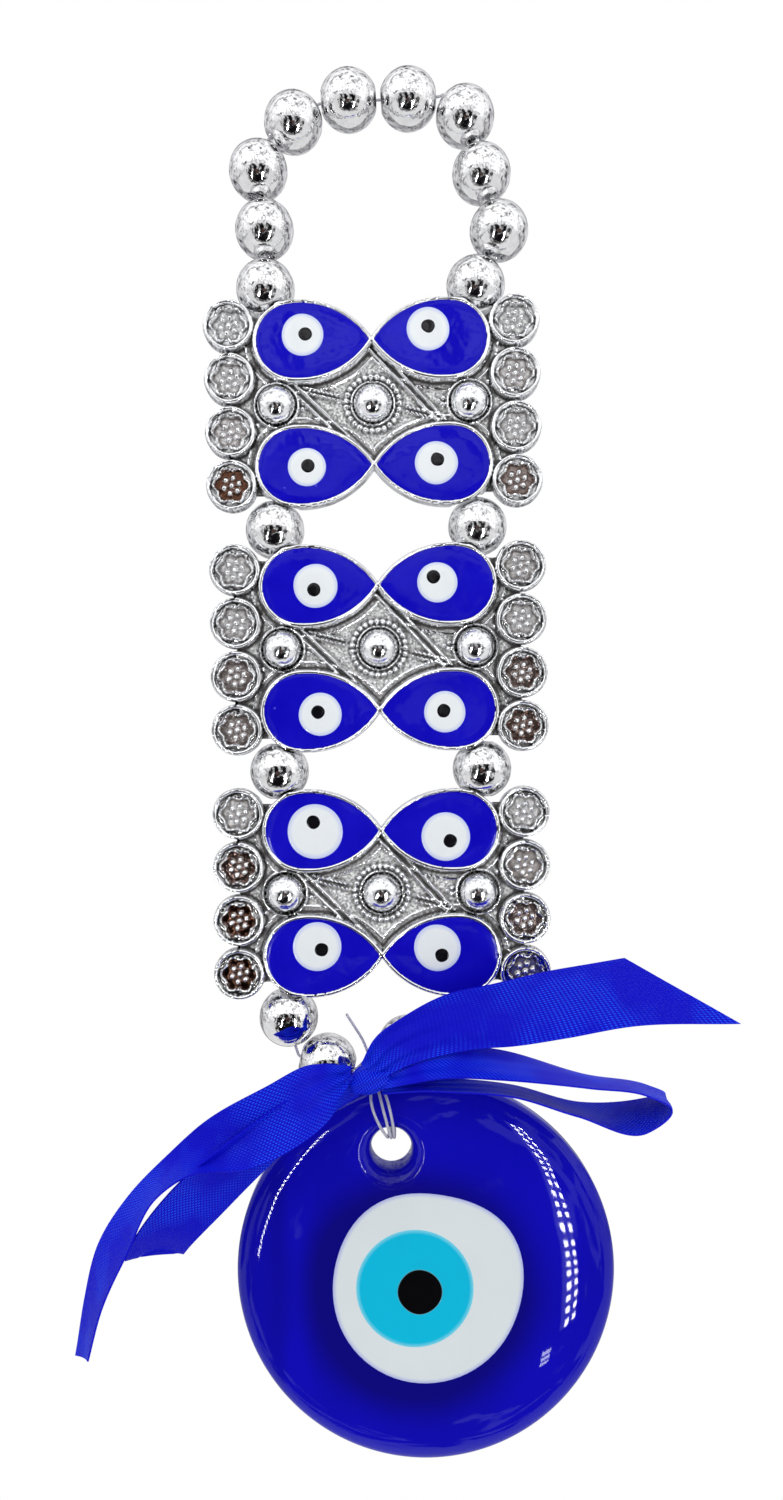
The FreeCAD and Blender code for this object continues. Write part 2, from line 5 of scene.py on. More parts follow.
import bpy
import numpy as np
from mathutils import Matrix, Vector


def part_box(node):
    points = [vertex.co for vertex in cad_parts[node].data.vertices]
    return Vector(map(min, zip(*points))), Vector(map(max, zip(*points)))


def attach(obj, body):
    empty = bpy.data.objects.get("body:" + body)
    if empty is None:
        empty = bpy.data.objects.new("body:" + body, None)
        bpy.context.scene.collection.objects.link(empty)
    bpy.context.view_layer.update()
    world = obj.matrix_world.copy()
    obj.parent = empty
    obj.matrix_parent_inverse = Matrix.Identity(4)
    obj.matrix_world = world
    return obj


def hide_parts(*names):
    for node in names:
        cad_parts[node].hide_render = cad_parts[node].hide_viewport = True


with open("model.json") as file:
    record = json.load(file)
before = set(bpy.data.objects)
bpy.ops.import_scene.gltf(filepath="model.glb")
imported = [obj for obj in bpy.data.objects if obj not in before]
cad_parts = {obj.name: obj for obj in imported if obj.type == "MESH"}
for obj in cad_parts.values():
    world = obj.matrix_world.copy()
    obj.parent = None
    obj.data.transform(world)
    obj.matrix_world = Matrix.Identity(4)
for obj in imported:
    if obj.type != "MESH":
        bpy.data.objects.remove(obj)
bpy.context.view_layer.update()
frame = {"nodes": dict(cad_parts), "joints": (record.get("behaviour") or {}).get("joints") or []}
mm = 0.001
joints = {j["name"]: j for j in frame["joints"]}
tau = 2 * math.pi

# ---- camera, floor and light ----

view = {"place": (0.00243, -0.202, -0.115), "lens": 26, "sensor": 36}

cameraData = bpy.data.cameras.new("camera")
cameraData.lens = view["lens"]
cameraData.sensor_width = view["sensor"]
cameraData.clip_start = 0.005
camera = bpy.data.objects.new("camera", cameraData)
camera.location = view["place"]
camera.rotation_euler = (math.pi / 2, 0, 0)
bpy.context.collection.objects.link(camera)
bpy.context.scene.camera = camera
bpy.context.scene.view_settings.view_transform = "Standard"
bpy.context.scene.view_settings.look = "None"

studio = {
    "floorDown": -1.1,  # metres below the hook
    "skyTop": 1.0,
    "skyLow": 0.62,
    "skyBehind": 0.62,
    "evenLow": 0.66,
    "evenHigh": 1.12,
    "lampStrength": 70,
    "keyPower": 0.9,
    "fillPower": 0.4,
    "bodyColour": (0.006, 0.005, 0.006),
    "handColour": (0.075, 0.026, 0.016),
}


def newMaterial(name):
    material = bpy.data.materials.new(name)
    material.use_nodes = True
    tree = material.node_tree
    return material, tree, tree.nodes["Principled BSDF"]


def node(tree, kind, inputs=None, **settings):
    # one node, its settings, and its sockets set to a value or linked from another socket
    made = tree.nodes.new(kind)
    for key, value in settings.items():
        setattr(made, key, value)
    for key, value in (inputs or {}).items():
        if isinstance(value, bpy.types.NodeSocket):
            tree.links.new(value, made.inputs[key])
        else:
            made.inputs[key].default_value = value
    return made


def ramp(tree, factor, stops):
    made = node(tree, "ShaderNodeValToRGB", {"Fac": factor})
    elements = made.color_ramp.elements
    while len(elements) < len(stops):
        elements.new(0.5)
    for element, (at, colour) in zip(elements, stops):
        element.position = at
        element.color = (*colour, 1) if len(colour) == 3 else colour
    return made.outputs["Color"]


def maths(tree, operation, first, second=0.0):
    return node(tree, "ShaderNodeMath", {0: first, 1: second}, operation=operation).outputs[0]


def mixColour(tree, factor, first, second, blend="MIX"):
    made = node(tree, "ShaderNodeMix", {0: factor}, data_type="RGBA", blend_type=blend)
    for slot, value in ((6, first), (7, second)):
        if isinstance(value, bpy.types.NodeSocket):
            tree.links.new(value, made.inputs[slot])
        else:
            made.inputs[slot].default_value = (*value, 1)
    return made.outputs[2]


def makeSky():
    # white behind the object, and a softly graded white room for the reflections
    world = bpy.data.worlds.new("room")
    bpy.context.scene.world = world
    world.use_nodes = True
    tree = world.node_tree
    tree.nodes.clear()
    direction = node(tree, "ShaderNodeTexCoord").outputs["Generated"]
    apart = node(tree, "ShaderNodeSeparateXYZ", {0: direction})
    low, top, far = studio["skyLow"], studio["skyTop"], studio["skyBehind"]
    height = node(tree, "ShaderNodeMapRange", {0: apart.outputs["Z"], 1: -1.0, 2: 1.0}).outputs[0]
    shade = ramp(tree, height, [(0, (low * 0.6,) * 3), (0.35, (low,) * 3), (0.6, (0.95,) * 3), (1, (top,) * 3)])
    behind = ramp(tree, node(tree, "ShaderNodeMapRange", {0: apart.outputs["Y"], 1: -0.2, 2: 0.5}).outputs[0],
                  [(0, (1, 1, 1)), (1, (far, far, far * 1.03))])
    warp = node(tree, "ShaderNodeTexNoise", {"Vector": direction, "Scale": 5.0, "Detail": 4.0, "Distortion": 1.2})
    broken = ramp(tree, warp.outputs["Fac"], [(0.37, (0.12, 0.12, 0.13)), (0.44, (0.9, 0.9, 0.91)), (0.56, (1.5,) * 3)])
    room = mixColour(tree, 1.0, mixColour(tree, 1.0, shade, behind, "MULTIPLY"), broken, "MULTIPLY")
    rays = node(tree, "ShaderNodeLightPath").outputs
    around = node(tree, "ShaderNodeBackground", {"Color": room, "Strength": 1.0})
    white = node(tree, "ShaderNodeBackground", {"Color": (1, 1, 1, 1), "Strength": 1.0})
    even = ramp(tree, height, [(0, (studio["evenLow"],) * 3), (1, (studio["evenHigh"],) * 3)])
    matt = node(tree, "ShaderNodeBackground", {"Color": even, "Strength": 1.0})
    lit = node(tree, "ShaderNodeMixShader", {0: rays["Is Diffuse Ray"], 1: around.outputs[0], 2: matt.outputs[0]})
    both = node(tree, "ShaderNodeMixShader", {0: rays["Is Camera Ray"], 1: lit.outputs[0], 2: white.outputs[0]})
    node(tree, "ShaderNodeOutputWorld", {"Surface": both.outputs[0]})


def makeCard(name, corners, material, seen=False):
    # a flat card of the studio, from its four corners in metres
    mesh = bpy.data.meshes.new(name)
    mesh.from_pydata([Vector(c) for c in corners], [], [(0, 1, 2, 3)])
    mesh.uv_layers.new(name="uv").data.foreach_set("uv", [0, 0, 1, 0, 1, 1, 0, 1])
    mesh.materials.append(material)
    card = bpy.data.objects.new(name, mesh)
    bpy.context.collection.objects.link(card)
    card.visible_camera = card.visible_diffuse = seen
    return card


def plainMaterial(name, colour, roughness=0.9):
    material, tree, shader = newMaterial(name)
    grain = node(tree, "ShaderNodeTexNoise", {"Scale": 30.0, "Detail": 3.0}).outputs["Fac"]
    tree.links.new(mixColour(tree, grain, colour, [c * 0.8 for c in colour]), shader.inputs["Base Color"])
    shader.inputs["Roughness"].default_value = roughness
    return material


def clothMaterial(name, colour, bright):
    # dark in the middle, broken up by bright patches towards the edges
    material, tree, shader = newMaterial(name)
    uv = node(tree, "ShaderNodeTexCoord").outputs["UV"]
    away = node(tree, "ShaderNodeVectorMath", {0: uv, 1: (0.5, 0.58, 0)}, operation="DISTANCE").outputs["Value"]
    blots = node(tree, "ShaderNodeTexNoise", {"Vector": uv, "Scale": 7.0, "Detail": 5.0, "Distortion": 1.5})
    mask = maths(tree, "ADD", blots.outputs["Fac"], maths(tree, "MULTIPLY", away, 0.5))
    glow = ramp(tree, mask, [(0.70, colour), (0.75, (bright,) * 3)])
    shader.inputs["Base Color"].default_value = (0, 0, 0, 1)
    shader.inputs["Specular IOR Level"].default_value = 0
    shader.inputs["Emission Strength"].default_value = 1
    tree.links.new(glow, shader.inputs["Emission Color"])
    return material


def lampMaterial(name, strength, rows, columns, gap):
    # a lamp panel of small bright bars with dark gaps
    material, tree, shader = newMaterial(name)
    uv = node(tree, "ShaderNodeTexCoord").outputs["UV"]
    across = node(tree, "ShaderNodeSeparateXYZ", {0: uv})
    lit = None
    for socket, count in ((across.outputs["X"], columns), (across.outputs["Y"], rows)):
        part = maths(tree, "FRACT", maths(tree, "MULTIPLY", socket, float(count)))
        on = maths(tree, "GREATER_THAN", part, gap if count > 1 else -1.0)
        lit = on if lit is None else maths(tree, "MULTIPLY", lit, on)
    glow = ramp(tree, lit, [(0.0, (0.02, 0.02, 0.02)), (1.0, (1.0, 1.0, 1.0))])
    shader.inputs["Base Color"].default_value = (0, 0, 0, 1)
    shader.inputs["Emission Strength"].default_value = strength
    tree.links.new(glow, shader.inputs["Emission Color"])
    return material


def strip(start, end, width, depth):
    # corners of a slanted strip, from its start and end across and up, on the plane y = depth
    (x0, z0), (x1, z1) = start, end
    length = math.hypot(x1 - x0, z1 - z0)
    sideX, sideZ = -(z1 - z0) / length * width / 2, (x1 - x0) / length * width / 2
    return [
        (x0 - sideX, depth, z0 - sideZ),
        (x0 + sideX, depth, z0 + sideZ),
        (x1 + sideX, depth, z1 + sideZ),
        (x1 - sideX, depth, z1 - sideZ),
    ]


def makeStudio():
    makeSky()
    down = studio["floorDown"]
    floorPaint = plainMaterial("palePaper", (0.93, 0.93, 0.93))
    makeCard("floor", [(-3, -4, down), (3, -4, down), (3, 1.2, down), (-3, 1.2, down)], floorPaint, True)
    dark = clothMaterial("darkCloth", studio["bodyColour"], 0.85)
    warm = plainMaterial("warmSkin", studio["handColour"], 0.6)
    makeCard("body", [(-0.48, -0.27, -0.85), (0.46, -0.27, -0.85), (0.30, -0.27, -0.03), (-0.30, -0.27, -0.02)], dark)
    palm = [(-0.05, -0.265, -0.175), (0.02, -0.265, -0.19), (0.028, -0.265, -0.12), (-0.035, -0.265, -0.105)]
    makeCard("hand", palm, warm)
    strong = studio["lampStrength"]
    bars = lampMaterial("barLamp", strong, 22, 2, 0.5)
    dashes = lampMaterial("dashLamp", strong, 30, 1, 0.5)
    makeCard("lampRight", strip((0.111, -0.155), (0.125, -0.368), 0.026, -0.23), bars)
    makeCard("lampLeft", strip((-0.093, -0.160), (-0.160, -0.314), 0.009, -0.23), dashes)
    spot = lampMaterial("smallLamp", strong * 0.3, 3, 1, 0.3)
    makeCard("lampLow", strip((0.101, -0.380), (0.104, -0.402), 0.010, -0.231), spot)
    panes = lampMaterial("windowLamp", 2.2, 3, 4, 0.2)
    makeCard("window", strip((-0.16, 0.10), (0.12, 0.12), 0.10, -0.4), panes)
    for name, place, turn, size, power in (
        ("keyLight", (-0.45, -0.55, 0.35), (55, 0, -40), 0.5, studio["keyPower"]),
        ("fillLight", (0.55, -0.5, 0.1), (75, 0, 48), 0.6, studio["fillPower"]),
    ):
        data = bpy.data.lights.new(name, "AREA")
        data.size, data.energy = size, power
        light = bpy.data.objects.new(name, data)
        light.location = place
        light.rotation_euler = [math.radians(a) for a in turn]
        light.visible_camera = False
        bpy.context.collection.objects.link(light)


makeStudio()
print("studio ready")

# ---- meshes from grids of points ----


def gridQuads(rows, columns, closeRows, closeColumns):
    # quads between neighbours of a grid numbered row by row
    r = np.arange(rows if closeRows else rows - 1)[:, None]
    c = np.arange(columns if closeColumns else columns - 1)[None, :]
    nextRow, nextColumn = (r + 1) % rows, (c + 1) % columns
    corners = [r * columns + c, r * columns + nextColumn, nextRow * columns + nextColumn, nextRow * columns + c]
    return np.stack(corners, -1).reshape(-1, 4)


def signedVolume(points, quads, caps):
    # a closed surface's volume from the triangles' cross products, negative if it is inside out
    triangles = np.concatenate([quads[:, [0, 1, 2]], quads[:, [0, 2, 3]]])
    for cap in caps:
        fan = np.stack([np.full(len(cap) - 2, cap[0]), cap[1:-1], cap[2:]], 1)
        triangles = np.concatenate([triangles, fan])
    a, b, c = (points[triangles[:, k]] for k in range(3))
    return float((a * np.cross(b, c)).sum() / 6)


def block(grid, closeRows=False, closeColumns=True, **values):
    # one closed surface: a grid of points, with flat caps where its rows end
    rows, columns = grid.shape[:2]
    points = grid.reshape(-1, 3)
    quads = gridQuads(rows, columns, closeRows, closeColumns)
    caps = []
    if not closeRows:
        first = np.arange(columns)
        caps = [first[::-1], first + (rows - 1) * columns]
    middle = points.mean(0)
    if signedVolume(points - middle, quads, caps) < 0:
        quads, caps = quads[:, ::-1], [cap[::-1] for cap in caps]
    values = {key: value.reshape(rows * columns, -1) for key, value in values.items()}
    return {"points": points, "quads": quads, "caps": caps, "values": values}


def makePiece(name, blocks, material, body, replaced=(), slot=None, sharp=50, smooth=True):
    # joins closed surfaces into one object whose place is in its mesh, hangs it on its body and hides the parts it
    # replaces
    points = np.concatenate([b["points"] for b in blocks])
    starts = np.cumsum([0] + [len(b["points"]) for b in blocks])
    polygons = [b["quads"] + start for b, start in zip(blocks, starts)]
    corners = [p.reshape(-1) for p in polygons]
    sizes = [np.full(len(p), 4) for p in polygons]
    for b, start in zip(blocks, starts):
        for cap in b["caps"]:
            corners.append(cap + start)
            sizes.append(np.array([len(cap)]))
    corners, sizes = np.concatenate(corners), np.concatenate(sizes)
    mesh = bpy.data.meshes.new(name)
    mesh.vertices.add(len(points))
    mesh.vertices.foreach_set("co", points.ravel())
    mesh.loops.add(len(corners))
    mesh.loops.foreach_set("vertex_index", corners)
    mesh.polygons.add(len(sizes))
    mesh.polygons.foreach_set("loop_start", np.concatenate([[0], np.cumsum(sizes)[:-1]]))
    mesh.polygons.foreach_set("use_smooth", np.full(len(sizes), smooth))
    mesh.update(calc_edges=True)
    for key in blocks[0]["values"]:
        data = np.concatenate([b["values"][key] for b in blocks])
        if key == "uv":
            mesh.uv_layers.new(name="uv").data.foreach_set("uv", data[corners].ravel())
        else:
            mesh.attributes.new(key, "FLOAT", "POINT").data.foreach_set("value", data.ravel())
    mesh.validate()
    if smooth:
        mesh.set_sharp_from_angle(angle=math.radians(sharp))
    mesh.materials.append(material)
    piece = bpy.data.objects.new(name, mesh)
    bpy.context.collection.objects.link(piece)
    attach(piece, body)
    if replaced:
        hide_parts(*replaced)
    return piece


def turned(profile, count, origin, axis, across):
    # a profile of distances from an axis and heights along it, carried round that axis
    axis, across = np.array(axis, float), np.array(across, float)
    third = np.cross(axis, across)
    angle = np.linspace(0, tau, count, endpoint=False)
    ring = np.cos(angle)[:, None] * across + np.sin(angle)[:, None] * third
    return np.array(origin) + profile[:, None, :1] * ring[None] + profile[:, None, 1:2] * axis


def smoothLine(points, count):
    # a curve through the points, with tangents from its neighbours weighted by the runs between them
    points = np.array(points, float)
    runs = np.linalg.norm(np.diff(points, axis=0), axis=1)
    at = np.concatenate([[0], np.cumsum(runs)])
    slopes = np.diff(points, axis=0) / runs[:, None]
    inner = (slopes[:-1] * runs[1:, None] + slopes[1:] * runs[:-1, None]) / (runs[:-1] + runs[1:])[:, None]
    tangents = np.concatenate([slopes[:1], inner, slopes[-1:]])
    where = np.linspace(0, at[-1], count)
    k = np.clip(np.searchsorted(at, where, side="right") - 1, 0, len(runs) - 1)
    h = runs[k][:, None]
    t = ((where - at[k])[:, None]) / h
    first = (2 * t**3 - 3 * t**2 + 1) * points[k] + (t**3 - 2 * t**2 + t) * h * tangents[k]
    return first + (3 * t**2 - 2 * t**3) * points[k + 1] + (t**3 - t**2) * h * tangents[k + 1]


def tube(line, radius, sides=12):
    # a circle carried along a line, turned as little as it can be from one point to the next
    along = np.gradient(line, axis=0)
    along /= np.linalg.norm(along, axis=1)[:, None]
    start = np.cross(along[0], (0.31, 0.83, 0.46))
    sideways = [start / np.linalg.norm(start)]
    for direction in along[1:]:
        carried = sideways[-1] - direction * (sideways[-1] @ direction)
        sideways.append(carried / np.linalg.norm(carried))
    sideways = np.array(sideways)
    other = np.cross(along, sideways)
    angle = np.linspace(0, tau, sides, endpoint=False)[None, :, None]
    radius = np.broadcast_to(np.asarray(radius, float), len(line))[:, None, None]
    return line[:, None] + radius * (np.cos(angle) * sideways[:, None] + np.sin(angle) * other[:, None])


# ---- effects that several finishes share ----


def newGroup(name, inputs, outputs):
    tree = bpy.data.node_groups.new(name, "ShaderNodeTree")
    for key, kind, value in inputs:
        socket = tree.interface.new_socket(name=key, in_out="INPUT", socket_type=kind)
        if value is not None:
            socket.default_value = value
    for key, kind in outputs:
        tree.interface.new_socket(name=key, in_out="OUTPUT", socket_type=kind)
    return tree, node(tree, "NodeGroupInput"), node(tree, "NodeGroupOutput")


def platingGroup():
    # plated plastic: slow swells and small pits in its surface, and a cloudy mask for its shine
    tree, given, result = newGroup(
        "platingSurface",
        [("Vector", "NodeSocketVector", None), ("Swell Size", "NodeSocketFloat", 300.0),
         ("Pit Size", "NodeSocketFloat", 2500.0), ("Pit Share", "NodeSocketFloat", 0.3)],
        [("Height", "NodeSocketFloat"), ("Clouds", "NodeSocketFloat")],
    )
    where = given.outputs["Vector"]
    swell = node(tree, "ShaderNodeTexNoise", {"Vector": where, "Scale": given.outputs["Swell Size"], "Detail": 1.0})
    pits = node(tree, "ShaderNodeTexNoise", {"Vector": where, "Scale": given.outputs["Pit Size"], "Detail": 2.0})
    clouds = node(tree, "ShaderNodeTexNoise", {"Vector": where, "Scale": 650.0, "Detail": 4.0, "Roughness": 0.7})
    pitted = maths(tree, "MULTIPLY", pits.outputs["Fac"], given.outputs["Pit Share"])
    tree.links.new(maths(tree, "ADD", swell.outputs["Fac"], pitted), result.inputs["Height"])
    tree.links.new(clouds.outputs["Fac"], result.inputs["Clouds"])
    return tree


def dustGroup():
    # a few bright specks of dust or bubbles, as a mask
    tree, given, result = newGroup(
        "specks",
        [("Vector", "NodeSocketVector", None), ("Size", "NodeSocketFloat", 120.0), ("Share", "NodeSocketFloat", 0.05)],
        [("Mask", "NodeSocketFloat")],
    )
    cells = node(tree, "ShaderNodeTexVoronoi", {"Vector": given.outputs["Vector"], "Scale": given.outputs["Size"]})
    near = maths(tree, "LESS_THAN", cells.outputs["Distance"], given.outputs["Share"])
    tree.links.new(near, result.inputs["Mask"])
    return tree


platingEffect, speckEffect = platingGroup(), dustGroup()


def useGroup(tree, group, inputs):
    made = tree.nodes.new("ShaderNodeGroup")
    made.node_tree = group
    for key, value in inputs.items():
        if isinstance(value, bpy.types.NodeSocket):
            tree.links.new(value, made.inputs[key])
        else:
            made.inputs[key].default_value = value
    return made.outputs


def objectSpace(tree):
    return node(tree, "ShaderNodeTexCoord").outputs["Object"]


def attribute(tree, key):
    return node(tree, "ShaderNodeAttribute", attribute_name=key).outputs["Fac"]


def setShader(shader, **values):
    for key, value in values.items():
        shader.inputs[key.replace("_", " ")].default_value = value


def bump(tree, shader, height, strength, distance):
    made = node(tree, "ShaderNodeBump", {"Height": height, "Strength": strength, "Distance": distance})
    tree.links.new(made.outputs["Normal"], shader.inputs["Normal"])


# ---- beads ----

beadLook = {
    "radius": 5.45,
    "holeRadius": 0.95,
    "lipRadius": 1.9,
    "lipDepth": 1.1,
    "rings": 64,
    "plating": (0.83, 0.83, 0.84),
    "cloudPlating": (0.66, 0.66, 0.67),
    "roughness": (0.03, 0.16),
}


def platedMaterial():
    material, tree, shader = newMaterial("platedBead")
    surface = useGroup(tree, platingEffect, {"Vector": objectSpace(tree), "Swell Size": 240.0, "Pit Share": 0.06})
    cloud = ramp(tree, surface["Clouds"], [(0.35, (0, 0, 0)), (0.75, (1, 1, 1))])
    tree.links.new(mixColour(tree, cloud, beadLook["plating"], beadLook["cloudPlating"]), shader.inputs["Base Color"])
    low, high = beadLook["roughness"]
    dull = ramp(tree, surface["Clouds"], [(0.4, (low,) * 3), (0.8, (high,) * 3)])
    tree.links.new(dull, shader.inputs["Roughness"])
    setShader(shader, Metallic=1.0)
    bump(tree, shader, surface["Height"], 0.35, 0.0006)
    return material


def beadProfile():
    # ball from lip to lip, then a dished lip at each end of a straight hole
    radius, lip = beadLook["radius"], beadLook["lipRadius"]
    edge = math.asin(lip / radius)
    polar = np.linspace(edge, math.pi - edge, 44)
    ball = np.stack([radius * np.sin(polar), radius * np.cos(polar)], 1)
    top = math.sqrt(radius**2 - lip**2)
    t = np.linspace(0, 1, 9)[1:, None]
    hole, depth = beadLook["holeRadius"], beadLook["lipDepth"]
    # a quadratic curve from the ball's edge, over the lip and down into the hole
    lower = (1 - t) ** 2 * [lip, -top] + 2 * t * (1 - t) * [hole + 0.25, -top + 0.05] + t**2 * [hole, -top + depth]
    wall = np.stack([np.full(4, hole), np.linspace(-top + depth, top - depth, 6)[1:-1]], 1)
    return np.concatenate([ball, lower, wall, (lower * [1, -1])[::-1]])


def makeBeads():
    material = platedMaterial()
    profile = beadProfile() * mm
    for name, joint in joints.items():
        if "_bead_" in name:
            axis = np.array(joint["axis"])
            grid = turned(profile, beadLook["rings"], joint["pos_m"], axis, (0, 1, 0))
            label = joint["child"]
            makePiece(label + "_ball", [block(grid, closeRows=True)], material, label, [label], "plated_beads")


makeBeads()
print("beads ready")

# ---- plaques ----

plaqueLook = {
    "step": 0.21,
    "size": (31.1, 20.0),
    "plate": (26, 11.5),
    "plateBack": 1.0,
    "field": 2.2,
    "mouth": 16.4,
    "web": (14, 26.25),
    "petalColumn": 26.25,
    "petalPitch": 9.8,
    "petalRadius": 4.7,
    "rimTop": 4.0,
    "eyeAcross": 14.3,
    "eyeUp": 11.5,
    "eyeEnd": 7.5,
    "eyeFlank": 16,
    "eyeOverlap": 0.35,
    "eyeRim": 0.75,
    "domeRadius": 3.6,
    "sideDome": 17.8,
    "domeRing": 3.95,
    "sideDomeRing": 4.05,
    "granules": 27,
    "granuleRing": 4.95,
    "granuleRadius": 0.56,
    # the small berries beside each side dome, across and up from it
    "berries": [(-4.95, 0.35), (-4.85, -0.75), (-5.75, -0.25), (4.3, -2.9), (3.5, -3.6), (4.4, 3.0)],
    "stringSpread": 18.85,
    "beadRoom": 5.8,
    "beadsBeside": [(18.85, 22.5), (18.85, -22.5), (17.6, -23.35)],
    "bands": [((-0.4, 10.8), (12.9, -3.7)), ((-15.1, 3.7), (0, -11.2))],
    "spokes": [((-12.7, 2.8), (-5, 0.8)), ((5, -0.8), (12.7, -2.8))],
    "metal": (0.84, 0.85, 0.87),
    "fieldMetal": (0.56, 0.565, 0.57),
    # colour of the recesses: part grime, part painted shade
    "grimeAndShade": (0.07, 0.065, 0.065),
    # dark brown of a painted reflection in the petal floors
    "paintedReflectionBrown": (0.10, 0.045, 0.028),
    # how dark each petal's floor is, a painted reflection of a dark brown shape, from the top down, left column then
    # right, for each plaque
    "petalShade": [
        [(0.0, 0.15, 0.3, 1.0), (0.0, 0.3, 0.15, 0.8)],
        [(0.1, 0.2, 0.6, 0.6), (0.3, 0.2, 0.8, 0.9)],
        [(0.2, 0.9, 1.0, 1.0), (0.1, 0.5, 0.8, 0.5)],
    ],
}
# each plaque's white drops: place across and up, width, and the pupil's place
eyeDrops = [
    [
        (-12.6, 12.4, 7.8, -12.1, 12.5), (10.4, 13.0, 8.0, 10.4, 13.5),
        (-12.3, -11.8, 7.1, -12.1, -11.6), (11.4, -11.5, 8.0, 11.6, -10.9),
    ],
    [
        (-11.4, 11.4, 8.2, -11.7, 10.7), (10.9, 11.7, 7.5, 10.2, 12.7),
        (-10.9, -12.1, 8.0, -11.3, -11.7), (11.9, -12.0, 7.7, 11.7, -11.8),
    ],
    [
        (-12.1, 11.4, 10.2, -12.4, 13.1), (11.8, 10.3, 9.0, 12.6, 9.5),
        (-11.9, -9.7, 9.0, -11.1, -10.2), (10.1, -10.1, 8.6, 10.9, -11.4),
    ],
]


def eyeShape():
    # where the two flank circles of a drop are centred, from its end, flanks and tip
    tip = plaqueLook["eyeAcross"] + plaqueLook["eyeOverlap"]
    end, flank = plaqueLook["eyeEnd"], plaqueLook["eyeFlank"]
    near = (2 * flank * end - end**2 - tip**2) / (2 * tip)
    return near, math.sqrt((flank - end) ** 2 - near**2)


def eyeDistance(x, z):
    # distance outside the nearest of four drops: from the end circle on one side, the flank circles on the other
    near, off = eyeShape()
    x, z = np.abs(x) - plaqueLook["eyeAcross"], np.abs(np.abs(z) - plaqueLook["eyeUp"])
    flanks = np.hypot(x - near, z + off) - plaqueLook["eyeFlank"]
    end = np.hypot(x, z) - plaqueLook["eyeEnd"]
    return np.where(x * off + z * near > 0, end, flanks)


def boxDistance(x, z, halfWide, halfTall, middle=0.0):
    dx, dz = np.abs(x - middle) - halfWide, np.abs(z) - halfTall
    return np.hypot(np.maximum(dx, 0), np.maximum(dz, 0)) + np.minimum(np.maximum(dx, dz), 0)


def petalPolar(x, z):
    # distance and angle from the nearest petal disc's middle
    pitch = plaqueLook["petalPitch"]
    dx = np.abs(x) - plaqueLook["petalColumn"]
    row = np.clip(np.floor(z / pitch), -2, 1) + 0.5
    dz = z - row * pitch
    return np.hypot(dx, dz), np.arctan2(dz, dx * np.sign(x)), dx * np.sign(x), dz


def outlineDistance(x, z):
    # distance outside the casting: the nearest of its plate, webs, petal discs and drops
    inner, outer = plaqueLook["web"]
    web = boxDistance(np.abs(x), z, (outer - inner) / 2, plaqueLook["mouth"], (outer + inner) / 2)
    parts = [boxDistance(x, z, *plaqueLook["plate"]), web, petalPolar(x, z)[0] - plaqueLook["petalRadius"]]
    return np.minimum.reduce([*parts, eyeDistance(x, z)])


def ridge(distance, half, foot, top):
    # a half-round bar: foot plus rise times the root of one less the distance's square, and nothing beyond it
    rounded = foot + (top - foot) * np.sqrt(np.clip(1 - (distance / half) ** 2, 0, 1))
    return np.where(np.abs(distance) < half, rounded, 0)


def barDistance(x, z, start, end):
    (x0, z0), (x1, z1) = start, end
    length = math.hypot(x1 - x0, z1 - z0)
    ux, uz = (x1 - x0) / length, (z1 - z0) / length
    along, off = (x - x0) * ux + (z - z0) * uz, (z - z0) * ux - (x - x0) * uz
    beyond = np.maximum(np.abs(along - length / 2) - length / 2, 0)
    return off, beyond


def grainOf(x, z, size, seed):
    # smooth random stipple: a few sine waves of different headings multiplied and added
    rng = np.random.default_rng(seed)
    total, waves = np.zeros_like(x), 14
    for _ in range(waves):
        heading, phase = rng.uniform(0, tau), rng.uniform(0, tau)
        pitch = size * rng.uniform(0.75, 1.5)
        total += np.sin((x * np.cos(heading) + z * np.sin(heading)) * tau / pitch + phase)
    return total / math.sqrt(waves / 2)


